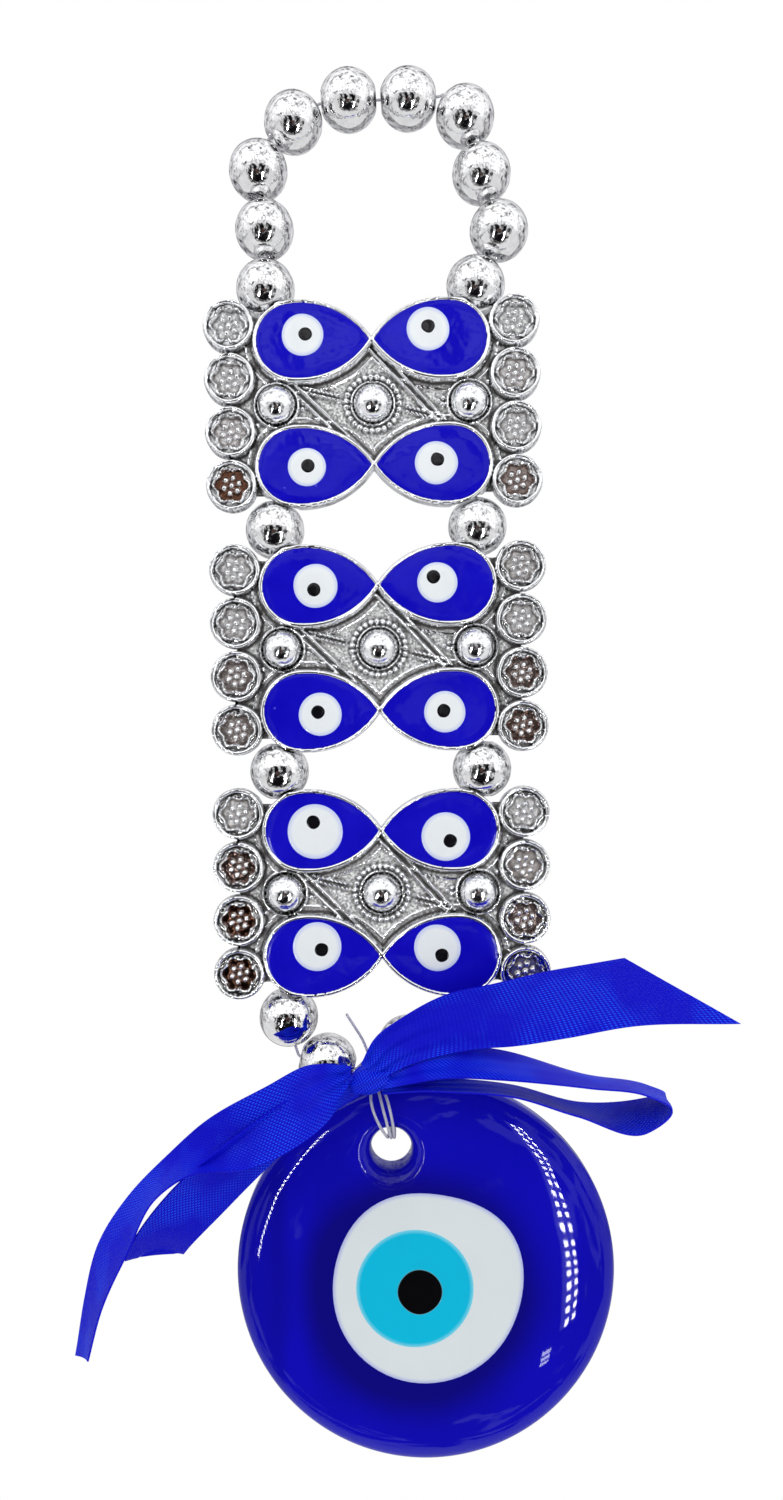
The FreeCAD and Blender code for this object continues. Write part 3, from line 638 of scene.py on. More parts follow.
def castingRelief(x, z, seed):
    # height of the front above the string plane: the highest of the field and what stands on it
    field = plaqueLook["field"]
    height = field + 0.045 * grainOf(x, z, 0.75, seed)
    outside = eyeDistance(x, z)
    rim = plaqueLook["eyeRim"]
    height = np.maximum(height, ridge(outside - 1.5, 0.28, field, field + 0.45))
    height = np.maximum(height, np.where(outside < 0.35, 3.1, 0))
    height = np.maximum(height, ridge(outside + rim / 2, rim / 2 + 0.12, 3.3, plaqueLook["rimTop"]))
    height = np.where(outside < -rim, 3.2, height)
    # each band and spoke is a pair of half-round bars
    for key, apart, half, rise in (("bands", 0.62, 0.34, 0.85), ("spokes", 0.45, 0.3, 0.75)):
        for start, end in plaqueLook[key]:
            off, beyond = barDistance(x, z, start, end)
            for shift in (-apart, apart):
                height = np.maximum(height, ridge(np.hypot(off - shift, beyond), half, field, field + rise))
    dome = plaqueLook["domeRadius"]
    fromMiddle, aroundMiddle = np.hypot(x, z), np.arctan2(z, x)
    inRing = (fromMiddle < 6.1) & (outside > 0)
    height = np.where(inRing, np.minimum(height, field + 0.1), height)
    height = np.maximum(height, field + np.sqrt(np.clip(dome**2 - fromMiddle**2, 0, None)))
    height = np.maximum(height, ridge(fromMiddle - plaqueLook["domeRing"], 0.3, field, field + 0.7))
    granules, ring = plaqueLook["granules"], plaqueLook["granuleRing"]
    turn = (aroundMiddle / tau * granules + 0.5) % 1 - 0.5
    granule = np.hypot(fromMiddle - ring, turn * tau / granules * ring)
    height = np.maximum(height, ridge(granule, plaqueLook["granuleRadius"], field + 0.25, field + 0.9))
    sideX = np.abs(x) - plaqueLook["sideDome"]
    fromSide = np.hypot(sideX, z)
    height = np.where(fromSide < 4.4, np.minimum(height, field + 0.1), height)
    height = np.maximum(height, field + np.sqrt(np.clip(dome**2 - fromSide**2, 0, None)))
    height = np.maximum(height, ridge(fromSide - plaqueLook["sideDomeRing"], 0.34, field, field + 0.75))
    flip = np.sign(x)
    for berryX, berryZ in plaqueLook["berries"]:
        near = np.hypot(sideX - berryX, z * flip + berryZ)
        height = np.maximum(height, ridge(near, 0.5, field, field + 0.75))
    return petalRelief(x, z, height)


def petalRelief(x, z, height):
    # a petal disc: rounded rim, a wavy six-lobed line inside it, and seven bumps on a sunken floor
    distance, angle, dx, dz = petalPolar(x, z)
    radius, top = plaqueLook["petalRadius"], plaqueLook["rimTop"]
    disc = np.where(distance < radius, 3.25, 0)
    disc = np.maximum(disc, np.where(distance < radius + 0.05, ridge(distance - 4.28, 0.42, 3.3, top), 0))
    wave = 3.05 + 0.3 * np.cos(6 * angle + 0.4)
    disc = np.where(distance < wave, np.where(distance < radius, 2.95, 0), disc)
    disc = np.maximum(disc, np.where(distance < 4.0, ridge(distance - wave, 0.3, 3.0, 3.85), 0))
    for k in range(7):
        reach = 0 if k == 0 else 1.45
        bx, bz = reach * math.cos(k * tau / 6 + 0.3), reach * math.sin(k * tau / 6 + 0.3)
        near = np.hypot(dx - bx, dz - bz)
        disc = np.maximum(disc, np.where(near < 0.52, ridge(near, 0.52, 2.9, 3.6), 0))
    return np.where(distance < radius, disc, height)


def blurred(values, width):
    # a moving average along both ways of a grid
    kernel = np.ones(width) / width
    padded = np.pad(values, width // 2, mode="edge")
    rows = np.apply_along_axis(lambda line: np.convolve(line, kernel, "valid"), 0, padded)
    return np.apply_along_axis(lambda line: np.convolve(line, kernel, "valid"), 1, rows)


def castingBlock(place, seed):
    # a grid over the casting, its edge points moved onto the outline, with a front, a back and a wall between
    halfWide, halfTall = plaqueLook["size"]
    step = plaqueLook["step"]
    across = np.arange(-halfWide - 1, halfWide + 1 + step, step)
    up = np.arange(-halfTall - 1, halfTall + 1 + step, step)
    x, z = np.meshgrid(across, up)
    distance = outlineDistance(x, z)
    slopeZ, slopeX = np.gradient(distance, step)
    steep = np.maximum(np.hypot(slopeX, slopeZ), 0.3)
    for _ in range(2):
        moving = np.abs(distance) < 0.72 * step
        x = np.where(moving, x - distance * slopeX / steep**2, x)
        z = np.where(moving, z - distance * slopeZ / steep**2, z)
        distance = np.where(moving, outlineDistance(x, z), distance)
    inside = distance < 0.3 * step
    quads = gridQuads(*x.shape, False, False)
    quads = quads[inside.ravel()[quads].all(1)]
    front = castingRelief(x, z, seed)
    hollow = np.zeros_like(x)
    for beadX, beadZ in plaqueLook["beadsBeside"]:
        reach = np.hypot(np.abs(x) - beadX, z - beadZ)
        hollow = np.maximum(hollow, np.sqrt(np.clip(plaqueLook["beadRoom"] ** 2 - reach**2, 0, None)))
    back = np.maximum(plaqueLook["plateBack"], hollow)
    edge = np.clip(-distance / 0.3, 0, 1)
    front = np.maximum(front - 0.3 * (1 - np.sqrt(1 - (1 - edge) ** 2)), back + 0.15)
    # sunk: how far a point lies below its blurred surroundings; it darkens the recesses, part grime and part painted
    # shade
    sunk = np.clip((blurred(front, 7) - front) / 0.4, 0, 1) * np.where(np.abs(x) > 21.8, 0.85, 1)
    plain = (np.abs(front - plaqueLook["field"]) < 0.12) * 1.0
    distance, angle, _, _ = petalPolar(x, z)
    row = (1 - np.clip(np.floor(z / plaqueLook["petalPitch"]), -2, 1)).astype(int)
    shade = np.array(plaqueLook["petalShade"])[seed - 1][(x > 0).astype(int), row]
    floor = (distance < 2.75 + 0.3 * np.cos(6 * angle + 0.4)) * (front < 3.15)
    # a petal floor takes the painted dark brown reflection as its shade says, and the rest of it goes towards the matt
    # field finish
    brown, plain = shade * floor, plain + 0.8 * (1 - shade) * floor
    flat = [place(x, z, -front), place(x, z, -back)]
    points = np.concatenate([g.reshape(-1, 3) for g in flat])
    count = x.size
    edges = np.concatenate([quads[:, [k, (k + 1) % 4]] for k in range(4)])
    keys, opposite = edges[:, 0] * count + edges[:, 1], edges[:, 1] * count + edges[:, 0]
    rim = edges[~np.isin(keys, opposite)]  # edges that only one quad has
    wall = np.stack([rim[:, 1], rim[:, 0], rim[:, 0] + count, rim[:, 1] + count], 1)
    faces = np.concatenate([quads, quads[:, ::-1] + count, wall])
    used, faces = np.unique(faces, return_inverse=True)
    faces = faces.reshape(-1, 4)
    points = points[used]
    if signedVolume(points - points.mean(0), faces, []) < 0:
        faces = faces[:, ::-1]
    values = {"sunk": sunk, "plain": plain, "brown": brown}
    values = {key: np.concatenate([v.ravel(), np.zeros(count)])[used][:, None] for key, v in values.items()}
    return {"points": points, "quads": faces, "caps": [], "values": values}


def placer(middle, wide, tall):
    # a function that puts points, given across, up and deep in millimetres, round a middle point
    def place(x, z, y):
        x, z, y = (np.asarray(v, float)[..., None] * mm for v in np.broadcast_arrays(x, z, y))
        return middle + x * wide + z * tall + y * np.array((0, 1, 0))

    return place


def plaquePlace(number):
    joint = joints[f"plaque_{number}_fold"]
    wide = np.array(joint["axis"])
    tall = np.array((-wide[2], 0, wide[0]))
    return placer(np.array(joint["pos_m"]) - tall * plaqueLook["mouth"] * mm, wide, tall)


def castMaterial():
    material, tree, shader = newMaterial("castPlating")
    where = objectSpace(tree)
    sizes = {"Vector": where, "Swell Size": 420.0, "Pit Size": 2600.0, "Pit Share": 0.5}
    surface = useGroup(tree, platingEffect, sizes)
    sunk, plain, brown = (attribute(tree, key) for key in ("sunk", "plain", "brown"))
    # darker in the recesses: part grime, part painted shade
    grimeAndShade = ramp(tree, sunk, [(0.15, (0, 0, 0)), (0.8, (1, 1, 1))])
    grit = node(tree, "ShaderNodeTexNoise", {"Vector": where, "Scale": 2300.0, "Detail": 2.0}).outputs["Fac"]
    field = plaqueLook["fieldMetal"]
    gritty = ramp(tree, grit, [(0.36, [c * 0.35 for c in field]), (0.5, field), (0.66, (0.95, 0.95, 0.95))])
    base = mixColour(tree, plain, plaqueLook["metal"], gritty)
    base = mixColour(tree, grimeAndShade, base, plaqueLook["grimeAndShade"])
    # petal floors: a painted reflection in dark brown
    tree.links.new(mixColour(tree, brown, base, plaqueLook["paintedReflectionBrown"]), shader.inputs["Base Color"])
    dull = ramp(tree, surface["Clouds"], [(0.35, (0.05,) * 3), (0.8, (0.16,) * 3)])
    tree.links.new(mixColour(tree, plain, dull, (0.42, 0.42, 0.42)), shader.inputs["Roughness"])
    tree.links.new(mixColour(tree, plain, (1, 1, 1), (0.3, 0.3, 0.3)), shader.inputs["Metallic"])
    stipple = node(tree, "ShaderNodeTexVoronoi", {"Vector": where, "Scale": 1900.0}).outputs["Distance"]
    rough = maths(tree, "ADD", surface["Height"], maths(tree, "MULTIPLY", maths(tree, "MULTIPLY", stipple, plain), 2.5))
    bump(tree, shader, rough, 0.25, 0.00022)
    return material


def tubeBlock(place, side):
    # a hollow round tube behind the plate, where the string runs
    outer, inner, easing, tall = 1.6, 0.85, 0.15, plaqueLook["mouth"]
    half = [(inner, tall), (outer - easing, tall), (outer, tall - easing)]
    profile = np.array([(reach, -end) for reach, end in half] + half[::-1])
    angle = np.linspace(0, tau, 32, endpoint=False)
    x = side * plaqueLook["stringSpread"] + profile[:, :1] * np.cos(angle)
    y = profile[:, :1] * np.sin(angle)
    return block(place(x, profile[:, 1:] + 0 * angle, y), closeRows=True, sunk=0 * x, plain=0 * x, brown=0 * x)


enamelLook = {
    "top": 3.72,
    "swell": 0.16,
    "dropTop": 3.9,
    "pupilWidth": 2.6,
    "blue": (0.0052, 0.0030, 0.45),
    "blueLight": (0.008, 0.006, 0.52),
    "white": (0.80, 0.84, 0.87),
    "whiteEdge": (0.50, 0.56, 0.86),
    "black": (0.004, 0.004, 0.006),
}


def fieldBlock(place, side, up):
    # blue enamel: rings from a drop's middle to its outline, flat on top and rounded down at the edge
    near, off = eyeShape()
    inset = plaqueLook["eyeRim"] - 0.04
    end, flank = plaqueLook["eyeEnd"] - inset, plaqueLook["eyeFlank"] - inset
    angle = np.linspace(-math.pi, math.pi, 180, endpoint=False)
    angle = angle + 0.25 * np.sin(angle)
    ux, uz = np.cos(angle), np.sin(angle)
    toward = ux * near - np.abs(uz) * off
    reach = toward + np.sqrt(toward**2 - near**2 - off**2 + flank**2)
    limit = math.atan2(off, -near)
    reach = np.where(np.abs(angle) < limit, end, reach)
    ring = np.concatenate([np.linspace(0.002, 0.8, 12), 1 - 0.2 * np.linspace(1, 0, 9)[1:] ** 2])
    x = side * (plaqueLook["eyeAcross"] + ring[:, None] * reach * ux)
    z = up * plaqueLook["eyeUp"] + ring[:, None] * reach * uz
    y = enamelLook["top"] + enamelLook["swell"] * (1 - ring[:, None] ** 8) + 0 * ux
    x, z = np.concatenate([x, x[-1:]]), np.concatenate([z, z[-1:]])
    y = np.concatenate([y, np.full((1, len(angle)), 3.0)])
    return block(place(x, z, -y))


def lensBlock(place, x0, z0, width, foot, top, wobble=0.012, seed=0, ground=None):
    # a round drop: rings out to a slightly uneven edge, its top falling from the middle as the fourth power
    angle = np.linspace(0, tau, 72, endpoint=False)
    rng = np.random.default_rng(seed)
    uneven = sum(rng.normal() / k * np.sin(k * angle + rng.uniform(0, tau)) for k in (2, 3, 4, 5))
    radius = width / 2 * (1 + wobble * uneven)
    ring = np.concatenate([np.linspace(0.003, 0.85, 14), np.linspace(0.89, 1, 6)])
    x = x0 + ring[:, None] * radius * np.cos(angle)
    z = z0 + ring[:, None] * radius * np.sin(angle)
    base = 0 if ground is None else ground(x, z)
    y = base + foot + (top - foot) * np.sqrt(np.clip(1 - ring[:, None] ** 4, 0, 1)) + 0 * angle
    low = (0 if ground is None else base[-1:]) + foot - 0.35
    x, z = np.concatenate([x, x[-1:]]), np.concatenate([z, z[-1:]])
    y = np.concatenate([y, np.full((1, len(angle)), 1.0) * low])
    edge = np.concatenate([ring, [1]])[:, None] + 0 * angle
    return block(place(x, z, -y), edge=edge)


def enamelMaterial(name, colour, other, roughness, specular):
    material, tree, shader = newMaterial(name)
    where = objectSpace(tree)
    patches = node(tree, "ShaderNodeTexNoise", {"Vector": where, "Scale": 160.0, "Detail": 3.0}).outputs["Fac"]
    specks = useGroup(tree, speckEffect, {"Vector": where, "Size": 170.0, "Share": 0.035})["Mask"]
    soft = ramp(tree, patches, [(0.35, (0, 0, 0)), (0.85, (1, 1, 1))])
    painted = mixColour(tree, soft, colour, other)
    bright = [min(1, c * 1.5 + 0.12) for c in colour]
    tree.links.new(mixColour(tree, maths(tree, "MULTIPLY", specks, 0.5), painted, bright), shader.inputs["Base Color"])
    dull = ramp(tree, patches, [(0.3, (roughness,) * 3), (0.9, (roughness * 2,) * 3)])
    tree.links.new(dull, shader.inputs["Roughness"])
    setShader(shader, Specular_IOR_Level=specular)
    swell = node(tree, "ShaderNodeTexNoise", {"Vector": where, "Scale": 420.0, "Detail": 1.0}).outputs["Fac"]
    bump(tree, shader, swell, 0.25, 0.0002)
    return material


def whiteDropMaterial():
    material, tree, shader = newMaterial("whiteEnamel")
    edge = attribute(tree, "edge")
    rim = ramp(tree, edge, [(0.80, (0, 0, 0)), (1.0, (1, 1, 1))])
    where = objectSpace(tree)
    patches = node(tree, "ShaderNodeTexNoise", {"Vector": where, "Scale": 500.0, "Detail": 3.0}).outputs["Fac"]
    milk = mixColour(tree, patches, enamelLook["white"], [c * 0.94 for c in enamelLook["white"]])
    tree.links.new(mixColour(tree, rim, milk, enamelLook["whiteEdge"]), shader.inputs["Base Color"])
    tree.links.new(ramp(tree, patches, [(0.3, (0.08,) * 3), (0.9, (0.2,) * 3)]), shader.inputs["Roughness"])
    bump(tree, shader, patches, 0.12, 0.0002)
    return material


def makePlaques():
    metal = castMaterial()
    blue = enamelMaterial("blueEnamel", enamelLook["blue"], enamelLook["blueLight"], 0.05, 0.13)
    black = enamelMaterial("blackEnamel", enamelLook["black"], enamelLook["black"], 0.08, 0.3)
    white = whiteDropMaterial()
    signs = ((-1, 1), (1, 1), (-1, -1), (1, -1))
    for number, drops in enumerate(eyeDrops, start=1):
        body, place = f"plaque_{number}", plaquePlace(number)
        parts = [castingBlock(place, number), tubeBlock(place, -1), tubeBlock(place, 1)]
        makePiece(f"{body}_cast_relief", parts, metal, body, [f"{body}_casting"], "cast_metal", sharp=60)
        fields = [fieldBlock(place, *sign) for sign in signs]
        makePiece(f"{body}_blue_fields", fields, blue, body, [f"{body}_blue_enamel"], "blue_enamel")
        top = enamelLook["dropTop"]
        whites = [
            lensBlock(place, x, z, width, top - 0.06, top + 0.1, seed=9 * number + k)
            for k, (x, z, width, _, _) in enumerate(drops)
        ]
        makePiece(f"{body}_white_drops", whites, white, body, [f"{body}_white_enamel"], "white_enamel")
        dots = [
            lensBlock(place, x, z, enamelLook["pupilWidth"], top + 0.05, top + 0.17, 0.03, 5 * number + k)
            for k, (_, _, _, x, z) in enumerate(drops)
        ]
        makePiece(f"{body}_pupil_dots", dots, black, body, [f"{body}_pupils"], "black_enamel")
        print(body, "ready,", sum(len(p["quads"]) for p in parts) * 2, "triangles in its casting")


makePlaques()

# ---- glass eye ----

glassLook = {
    "frontRise": 4.6,
    "frontPower": 3.2,
    "backRise": 3.4,
    "backPower": 7.0,
    "holeOff": (-6.4, 22.7),
    "holeRadius": 3.75,
    "frontLip": 3.2,
    "backLip": 1.6,
    "patch": (0.2, -1.6, 35.0),
    "iris": (-2.1, -1.8, 21.4),
    "pupil": (-1.2, -2.4, 8.2),
    "deep": (0.0050, 0.0035, 0.20),
    "bright": (0.0060, 0.0045, 0.46),
    "milk": (0.72, 0.78, 0.80),
    "milkEdge": (0.42, 0.46, 0.80),
    "sky": (0.006, 0.50, 0.74),
    "ink": (0.004, 0.004, 0.005),
}


def dome(distance, radius, rise, power):
    # a flattened dome: rise times (1 - (distance / radius)^power)^(1 / power)
    return rise * np.clip(1 - (distance / radius) ** power, 0, 1) ** (1 / power)


def lipDrop(distance, hole, size):
    # how far a rounded edge falls away towards the hole, as a quarter circle
    t = np.clip((hole + size - distance) / size, 0, 1)
    return size * (1 - np.sqrt(np.clip(1 - t**2, 0, 1)))


def makeGlass():
    low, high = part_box("glass_disc")
    centre = np.array((low + high) / 2)
    radius = (high.x - low.x) / 2 / mm
    hx, hz = glassLook["holeOff"]
    hole = glassLook["holeRadius"]

    place = placer(np.array((centre[0], 0, centre[2])), np.array((1, 0, 0)), np.array((0, 0, 1)))

    def frontHeight(x, z):
        return dome(np.hypot(x, z), radius, glassLook["frontRise"], glassLook["frontPower"])

    # circles from the hole's edge out to the rim: centre and radius go over from one to the other
    def circles(lip, count):
        near = np.linspace(0, 1, 12, endpoint=False) ** 1.3 * lip
        s = np.sin(np.linspace(0, math.pi / 2, count))
        reach = np.concatenate([hole + near, hole + lip + (radius - hole - lip) * s])
        blend = np.concatenate([np.zeros(len(near)), s])
        return reach[:, None], blend[:, None]

    angle = np.linspace(0, tau, 224, endpoint=False)
    layers = []
    for rise, power, lip, count, sign in (
        (glassLook["frontRise"], glassLook["frontPower"], glassLook["frontLip"], 84, -1),
        (glassLook["backRise"], glassLook["backPower"], glassLook["backLip"], 44, 1),
    ):
        reach, blend = circles(lip, count)
        x = hx * (1 - blend) + reach * np.cos(angle)
        z = hz * (1 - blend) + reach * np.sin(angle)
        y = dome(np.hypot(x, z), radius, rise, power) - lipDrop(np.hypot(x - hx, z - hz), hole, lip)
        layers.append((x, z, sign * y))
    front, back = layers
    grid = [np.concatenate([f, b[::-1][1:]]) for f, b in zip(front, back)]
    x, z, y = grid
    px, pz, wide = glassLook["patch"]
    # painted shade and light in the blue glass: darker round the white patch, a darker streak by the left rim with a
    # lighter one just inside it, and darker towards the left and right rims
    away = np.hypot(x - px + 1.8, z - pz + 1.2) - wide / 2
    shadow = 0.95 * np.exp(-((np.clip(away, 0, None) / 5.5) ** 2))
    streak = 0.25 * np.exp(-(((x + 27) / 2.2) ** 2)) - 0.3 * np.exp(-(((x + 23.5) / 2.5) ** 2)) * (np.abs(z) < 22)
    glassPaintedShade = np.clip(shadow + streak + 0.35 * (np.abs(x) / radius) ** 5, 0, 1)
    disc = block(place(x, z, y), closeRows=True, deep=glassPaintedShade)
    blue = glassMaterial()
    makePiece("glass_disc_body", [disc], blue, "glass", ["glass_disc"], "blue_glass")

    milk = patchMaterial("milkGlass", glassLook["milk"], glassLook["milkEdge"], 0.955)
    sky = patchMaterial("skyGlass", glassLook["sky"], (0.20, 0.66, 0.82), 0.93)
    ink = patchMaterial("inkGlass", glassLook["ink"], (0.16, 0.42, 0.50), 0.965)
    for label, key, material, node_, slot, foot, top, wobble, seed in (
        ("glass_white_patch", "patch", milk, "white_glass", "white_glass", 0.01, 0.10, 0.032, 4),
        ("glass_light_iris", "iris", sky, "light_blue_glass", "light_blue_glass", 0.10, 0.15, 0.008, 7),
        ("glass_dark_pupil", "pupil", ink, "pupil_glass", "black_glass", 0.15, 0.21, 0.02, 12),
    ):
        x0, z0, wide = glassLook[key]
        drop = lensBlock(place, x0, z0, wide, foot, top, wobble, seed, frontHeight)
        makePiece(label, [drop], material, "glass", [node_], slot)


def glassMaterial():
    material, tree, shader = newMaterial("blueGlass")
    where = objectSpace(tree)
    deep = attribute(tree, "deep")
    clouds = node(tree, "ShaderNodeTexNoise", {"Vector": where, "Scale": 55.0, "Detail": 2.0}).outputs["Fac"]
    uneven = maths(tree, "MULTIPLY", maths(tree, "SUBTRACT", clouds, 0.5), 0.5)
    # the deep attribute is painted shade and light, with cloudy tone that differs at random added to it
    mask = maths(tree, "ADD", deep, uneven)
    smooth = ramp(tree, mask, [(0.0, (0, 0, 0)), (0.9, (1, 1, 1))])
    body = mixColour(tree, smooth, glassLook["bright"], glassLook["deep"])
    specks = useGroup(tree, speckEffect, {"Vector": where, "Size": 95.0, "Share": 0.022})["Mask"]
    dusted = mixColour(tree, maths(tree, "MULTIPLY", specks, 0.6), body, (0.25, 0.25, 0.75))
    tree.links.new(dusted, shader.inputs["Base Color"])
    swell = node(tree, "ShaderNodeTexNoise", {"Vector": where, "Scale": 70.0, "Detail": 1.0}).outputs["Fac"]
    tree.links.new(ramp(tree, swell, [(0.3, (0.02,) * 3), (0.9, (0.05,) * 3)]), shader.inputs["Roughness"])
    setShader(shader, Specular_IOR_Level=0.2)
    bump(tree, shader, swell, 0.25, 0.0006)
    return material


def patchMaterial(name, colour, edgeColour, start):
    # opaque glass whose colour runs into the next one at its edge
    material, tree, shader = newMaterial(name)
    edge = attribute(tree, "edge")
    rim = ramp(tree, edge, [(start, (0, 0, 0)), (1.0, (1, 1, 1))])
    where = objectSpace(tree)
    clouds = node(tree, "ShaderNodeTexNoise", {"Vector": where, "Scale": 90.0, "Detail": 2.0}).outputs["Fac"]
    body = mixColour(tree, clouds, colour, [c * 0.93 for c in colour])
    specks = useGroup(tree, speckEffect, {"Vector": where, "Size": 75.0, "Share": 0.018})["Mask"]
    body = mixColour(tree, maths(tree, "MULTIPLY", specks, 0.7), body, (0.05, 0.05, 0.06))
    tree.links.new(mixColour(tree, rim, body, edgeColour), shader.inputs["Base Color"])
    tree.links.new(ramp(tree, clouds, [(0.3, (0.03,) * 3), (0.9, (0.08,) * 3)]), shader.inputs["Roughness"])
    setShader(shader, Specular_IOR_Level=0.4)
    bump(tree, shader, clouds, 0.15, 0.0005)
    return material


makeGlass()
print("glass ready")

# ---- ribbon ----

ribbonLook = {
    "thickness": 0.3,
    "width": 12.7,
    "deep": (0.0028, 0.0028, 0.55),
    # a painted highlight colour for the lit weave floats
    "paintedGlint": (0.011, 0.085, 1.0),
    "pitch": 0.42,
    "knotMiddle": (-1.2, -7.0, -174.0),
    "knotRadius": 2.75,
    "bandUp": -174.35,
    "bandRadius": 1.86,
}
# the places of each length's two edges, across, depth and up, in millimetres from the knot outwards
ribbonRuns = {
    "ribbon_left_tail": [
        ((-4.9, -8.6, -171.4), (-4.9, -8.2, -174.6)),
        ((-12.2, -13.5, -170.0), (-8.8, -13, -180.0)),
        ((-19.3, -14.5, -173.3), (-14.5, -14, -184.2)),
        ((-27.6, -13.5, -178.0), (-22.5, -14.5, -187.6)),
        ((-36.9, -8.5, -186.5), (-32.6, -15.5, -188.4)),
        ((-45.2, -5.5, -196.0), (-38.0, -16, -192.0)),
        ((-51.0, -4.8, -205.5), (-43.0, -16, -201.5)),
        ((-53.6, -4.8, -215.0), (-47.3, -16, -211.0)),
        ((-55.0, -5.2, -225.0), (-49.6, -16.4, -219.8)),
    ],
    "ribbon_left_loop": [
        ((-4.0, -8.2, -173.0), (-3.4, -6.2, -177.6)),
        ((-14.5, -13.4, -175.5), (-11.5, -5.6, -183.2)),
        ((-26.0, -14.2, -183.0), (-20.5, -6.8, -190.8)),
        ((-36.0, -13.8, -192.0), (-28.2, -7.2, -198.4)),
        ((-42.8, -13.4, -201.0), (-34.0, -6.4, -204.6)),
        ((-44.3, -12, -204.4), (-35.4, -5.0, -206.6)),
        ((-42.6, -10.4, -202.4), (-34.2, -3.6, -204.9)),
        ((-36.0, -9.8, -193.4), (-28.6, -3.2, -198.6)),
        ((-26.4, -9.8, -184.8), (-20.8, -4.0, -191.2)),
        ((-14.8, -8.6, -177.4), (-12.2, -4.8, -183.4)),
        ((-4.4, -6, -174.0), (-4, -5, -177.8)),
    ],
    "ribbon_right_tail": [
        ((-3.0, -9.4, -170.8), (0.4, -8.6, -173.6)),
        ((-0.4, -10.0, -165.9), (4.6, -9.2, -171.4)),
        ((4.6, -10.4, -162.2), (10.0, -9.4, -169.6)),
        ((12.2, -10.8, -158.2), (17.3, -10, -168.0)),
        ((19.6, -11, -156.4), (24.1, -10.4, -167.4)),
        ((30.0, -11, -154.0), (33.2, -10.6, -166.0)),
        ((36.9, -10.8, -152.9), (45.0, -10.6, -163.9)),
        ((43.7, -10.4, -151.8), (64.2, -10.6, -163.4)),
    ],
    "ribbon_right_loop": [
        ((0.6, -9.0, -175.4), (1.0, -6.4, -171.2)),
        ((11.0, -13.5, -172.2), (10.5, -6.8, -168.6)),
        ((21.0, -16, -171.8), (19.5, -6.4, -168.8)),
        ((36.5, -17, -172.6), (38.0, -5.6, -174.0)),
        ((46.4, -16.8, -174.4), (48.8, -5.6, -175.8)),
        ((50.3, -16.4, -176.8), (52.0, -5.6, -177.2)),
        ((46.2, -16.2, -180.6), (47.6, -5.6, -178.3)),
        ((34.3, -15.8, -178.2), (37.0, -5.6, -178.9)),
        ((23.3, -14.4, -175.0), (24.0, -6.2, -175.6)),
        ((11.0, -11.4, -175.2), (11.0, -6.4, -174.4)),
        ((0.8, -8.4, -176.6), (1.0, -6.2, -174.6)),
    ],
}
# length as cut, how much the width cups, and how deep and how far the pleats at the knot go
ribbonForms = {
    "ribbon_left_tail": {"length": 75, "cup": -0.7, "pleat": 0.5, "bothEnds": False},
    "ribbon_left_loop": {"length": 100, "cup": -0.5, "pleat": 0.35, "bothEnds": True},
    "ribbon_right_tail": {"length": 65, "cup": 0.7, "pleat": 0.5, "bothEnds": False},
    "ribbon_right_loop": {"length": 104, "cup": 0.15, "pleat": 0.35, "bothEnds": True},
}


def satinMaterial():
    material, tree, shader = newMaterial("satin")
    uv = node(tree, "ShaderNodeUVMap", uv_map="uv").outputs["UV"]
    apart = node(tree, "ShaderNodeSeparateXYZ", {0: uv})
    u, v = apart.outputs["X"], apart.outputs["Y"]
    pitch = 1000 / ribbonLook["pitch"]
    # rows of short floats, each row set over from the last as in a satin weave
    row = maths(tree, "MULTIPLY", v, pitch)
    rowNumber = maths(tree, "FLOOR", row)
    over = maths(tree, "MULTIPLY", rowNumber, 0.4)
    along = maths(tree, "ADD", maths(tree, "MULTIPLY", u, pitch * 0.55), over)
    humps = []
    for value in (along, row):
        t = maths(tree, "SUBTRACT", maths(tree, "FRACT", value), 0.5)
        humps.append(maths(tree, "SUBTRACT", 0.25, maths(tree, "MULTIPLY", t, t)))
    floats = maths(tree, "MULTIPLY", maths(tree, "MULTIPLY", humps[0], humps[1]), 16.0)
    glow = ramp(tree, floats, [(0.55, (0, 0, 0)), (0.9, (1, 1, 1))])
    where = objectSpace(tree)
    patches = node(tree, "ShaderNodeTexNoise", {"Vector": where, "Scale": 85.0, "Detail": 2.0}).outputs["Fac"]
    # painted highlights: the weave floats in cloudy lit patches take the bright glint colour in place of the dark blue
    lit = ramp(tree, patches, [(0.44, (0.06, 0.06, 0.06)), (0.60, (1, 1, 1))])
    mask = maths(tree, "MULTIPLY", glow, lit)
    tree.links.new(mixColour(tree, mask, ribbonLook["deep"], ribbonLook["paintedGlint"]), shader.inputs["Base Color"])
    setShader(shader, Roughness=0.45, Specular_IOR_Level=0.05, Sheen_Weight=0.03, Sheen_Roughness=0.4)
    shader.inputs["Sheen Tint"].default_value = (0.1, 0.2, 1, 1)
    bump(tree, shader, floats, 0.35, 0.0001)
    return material


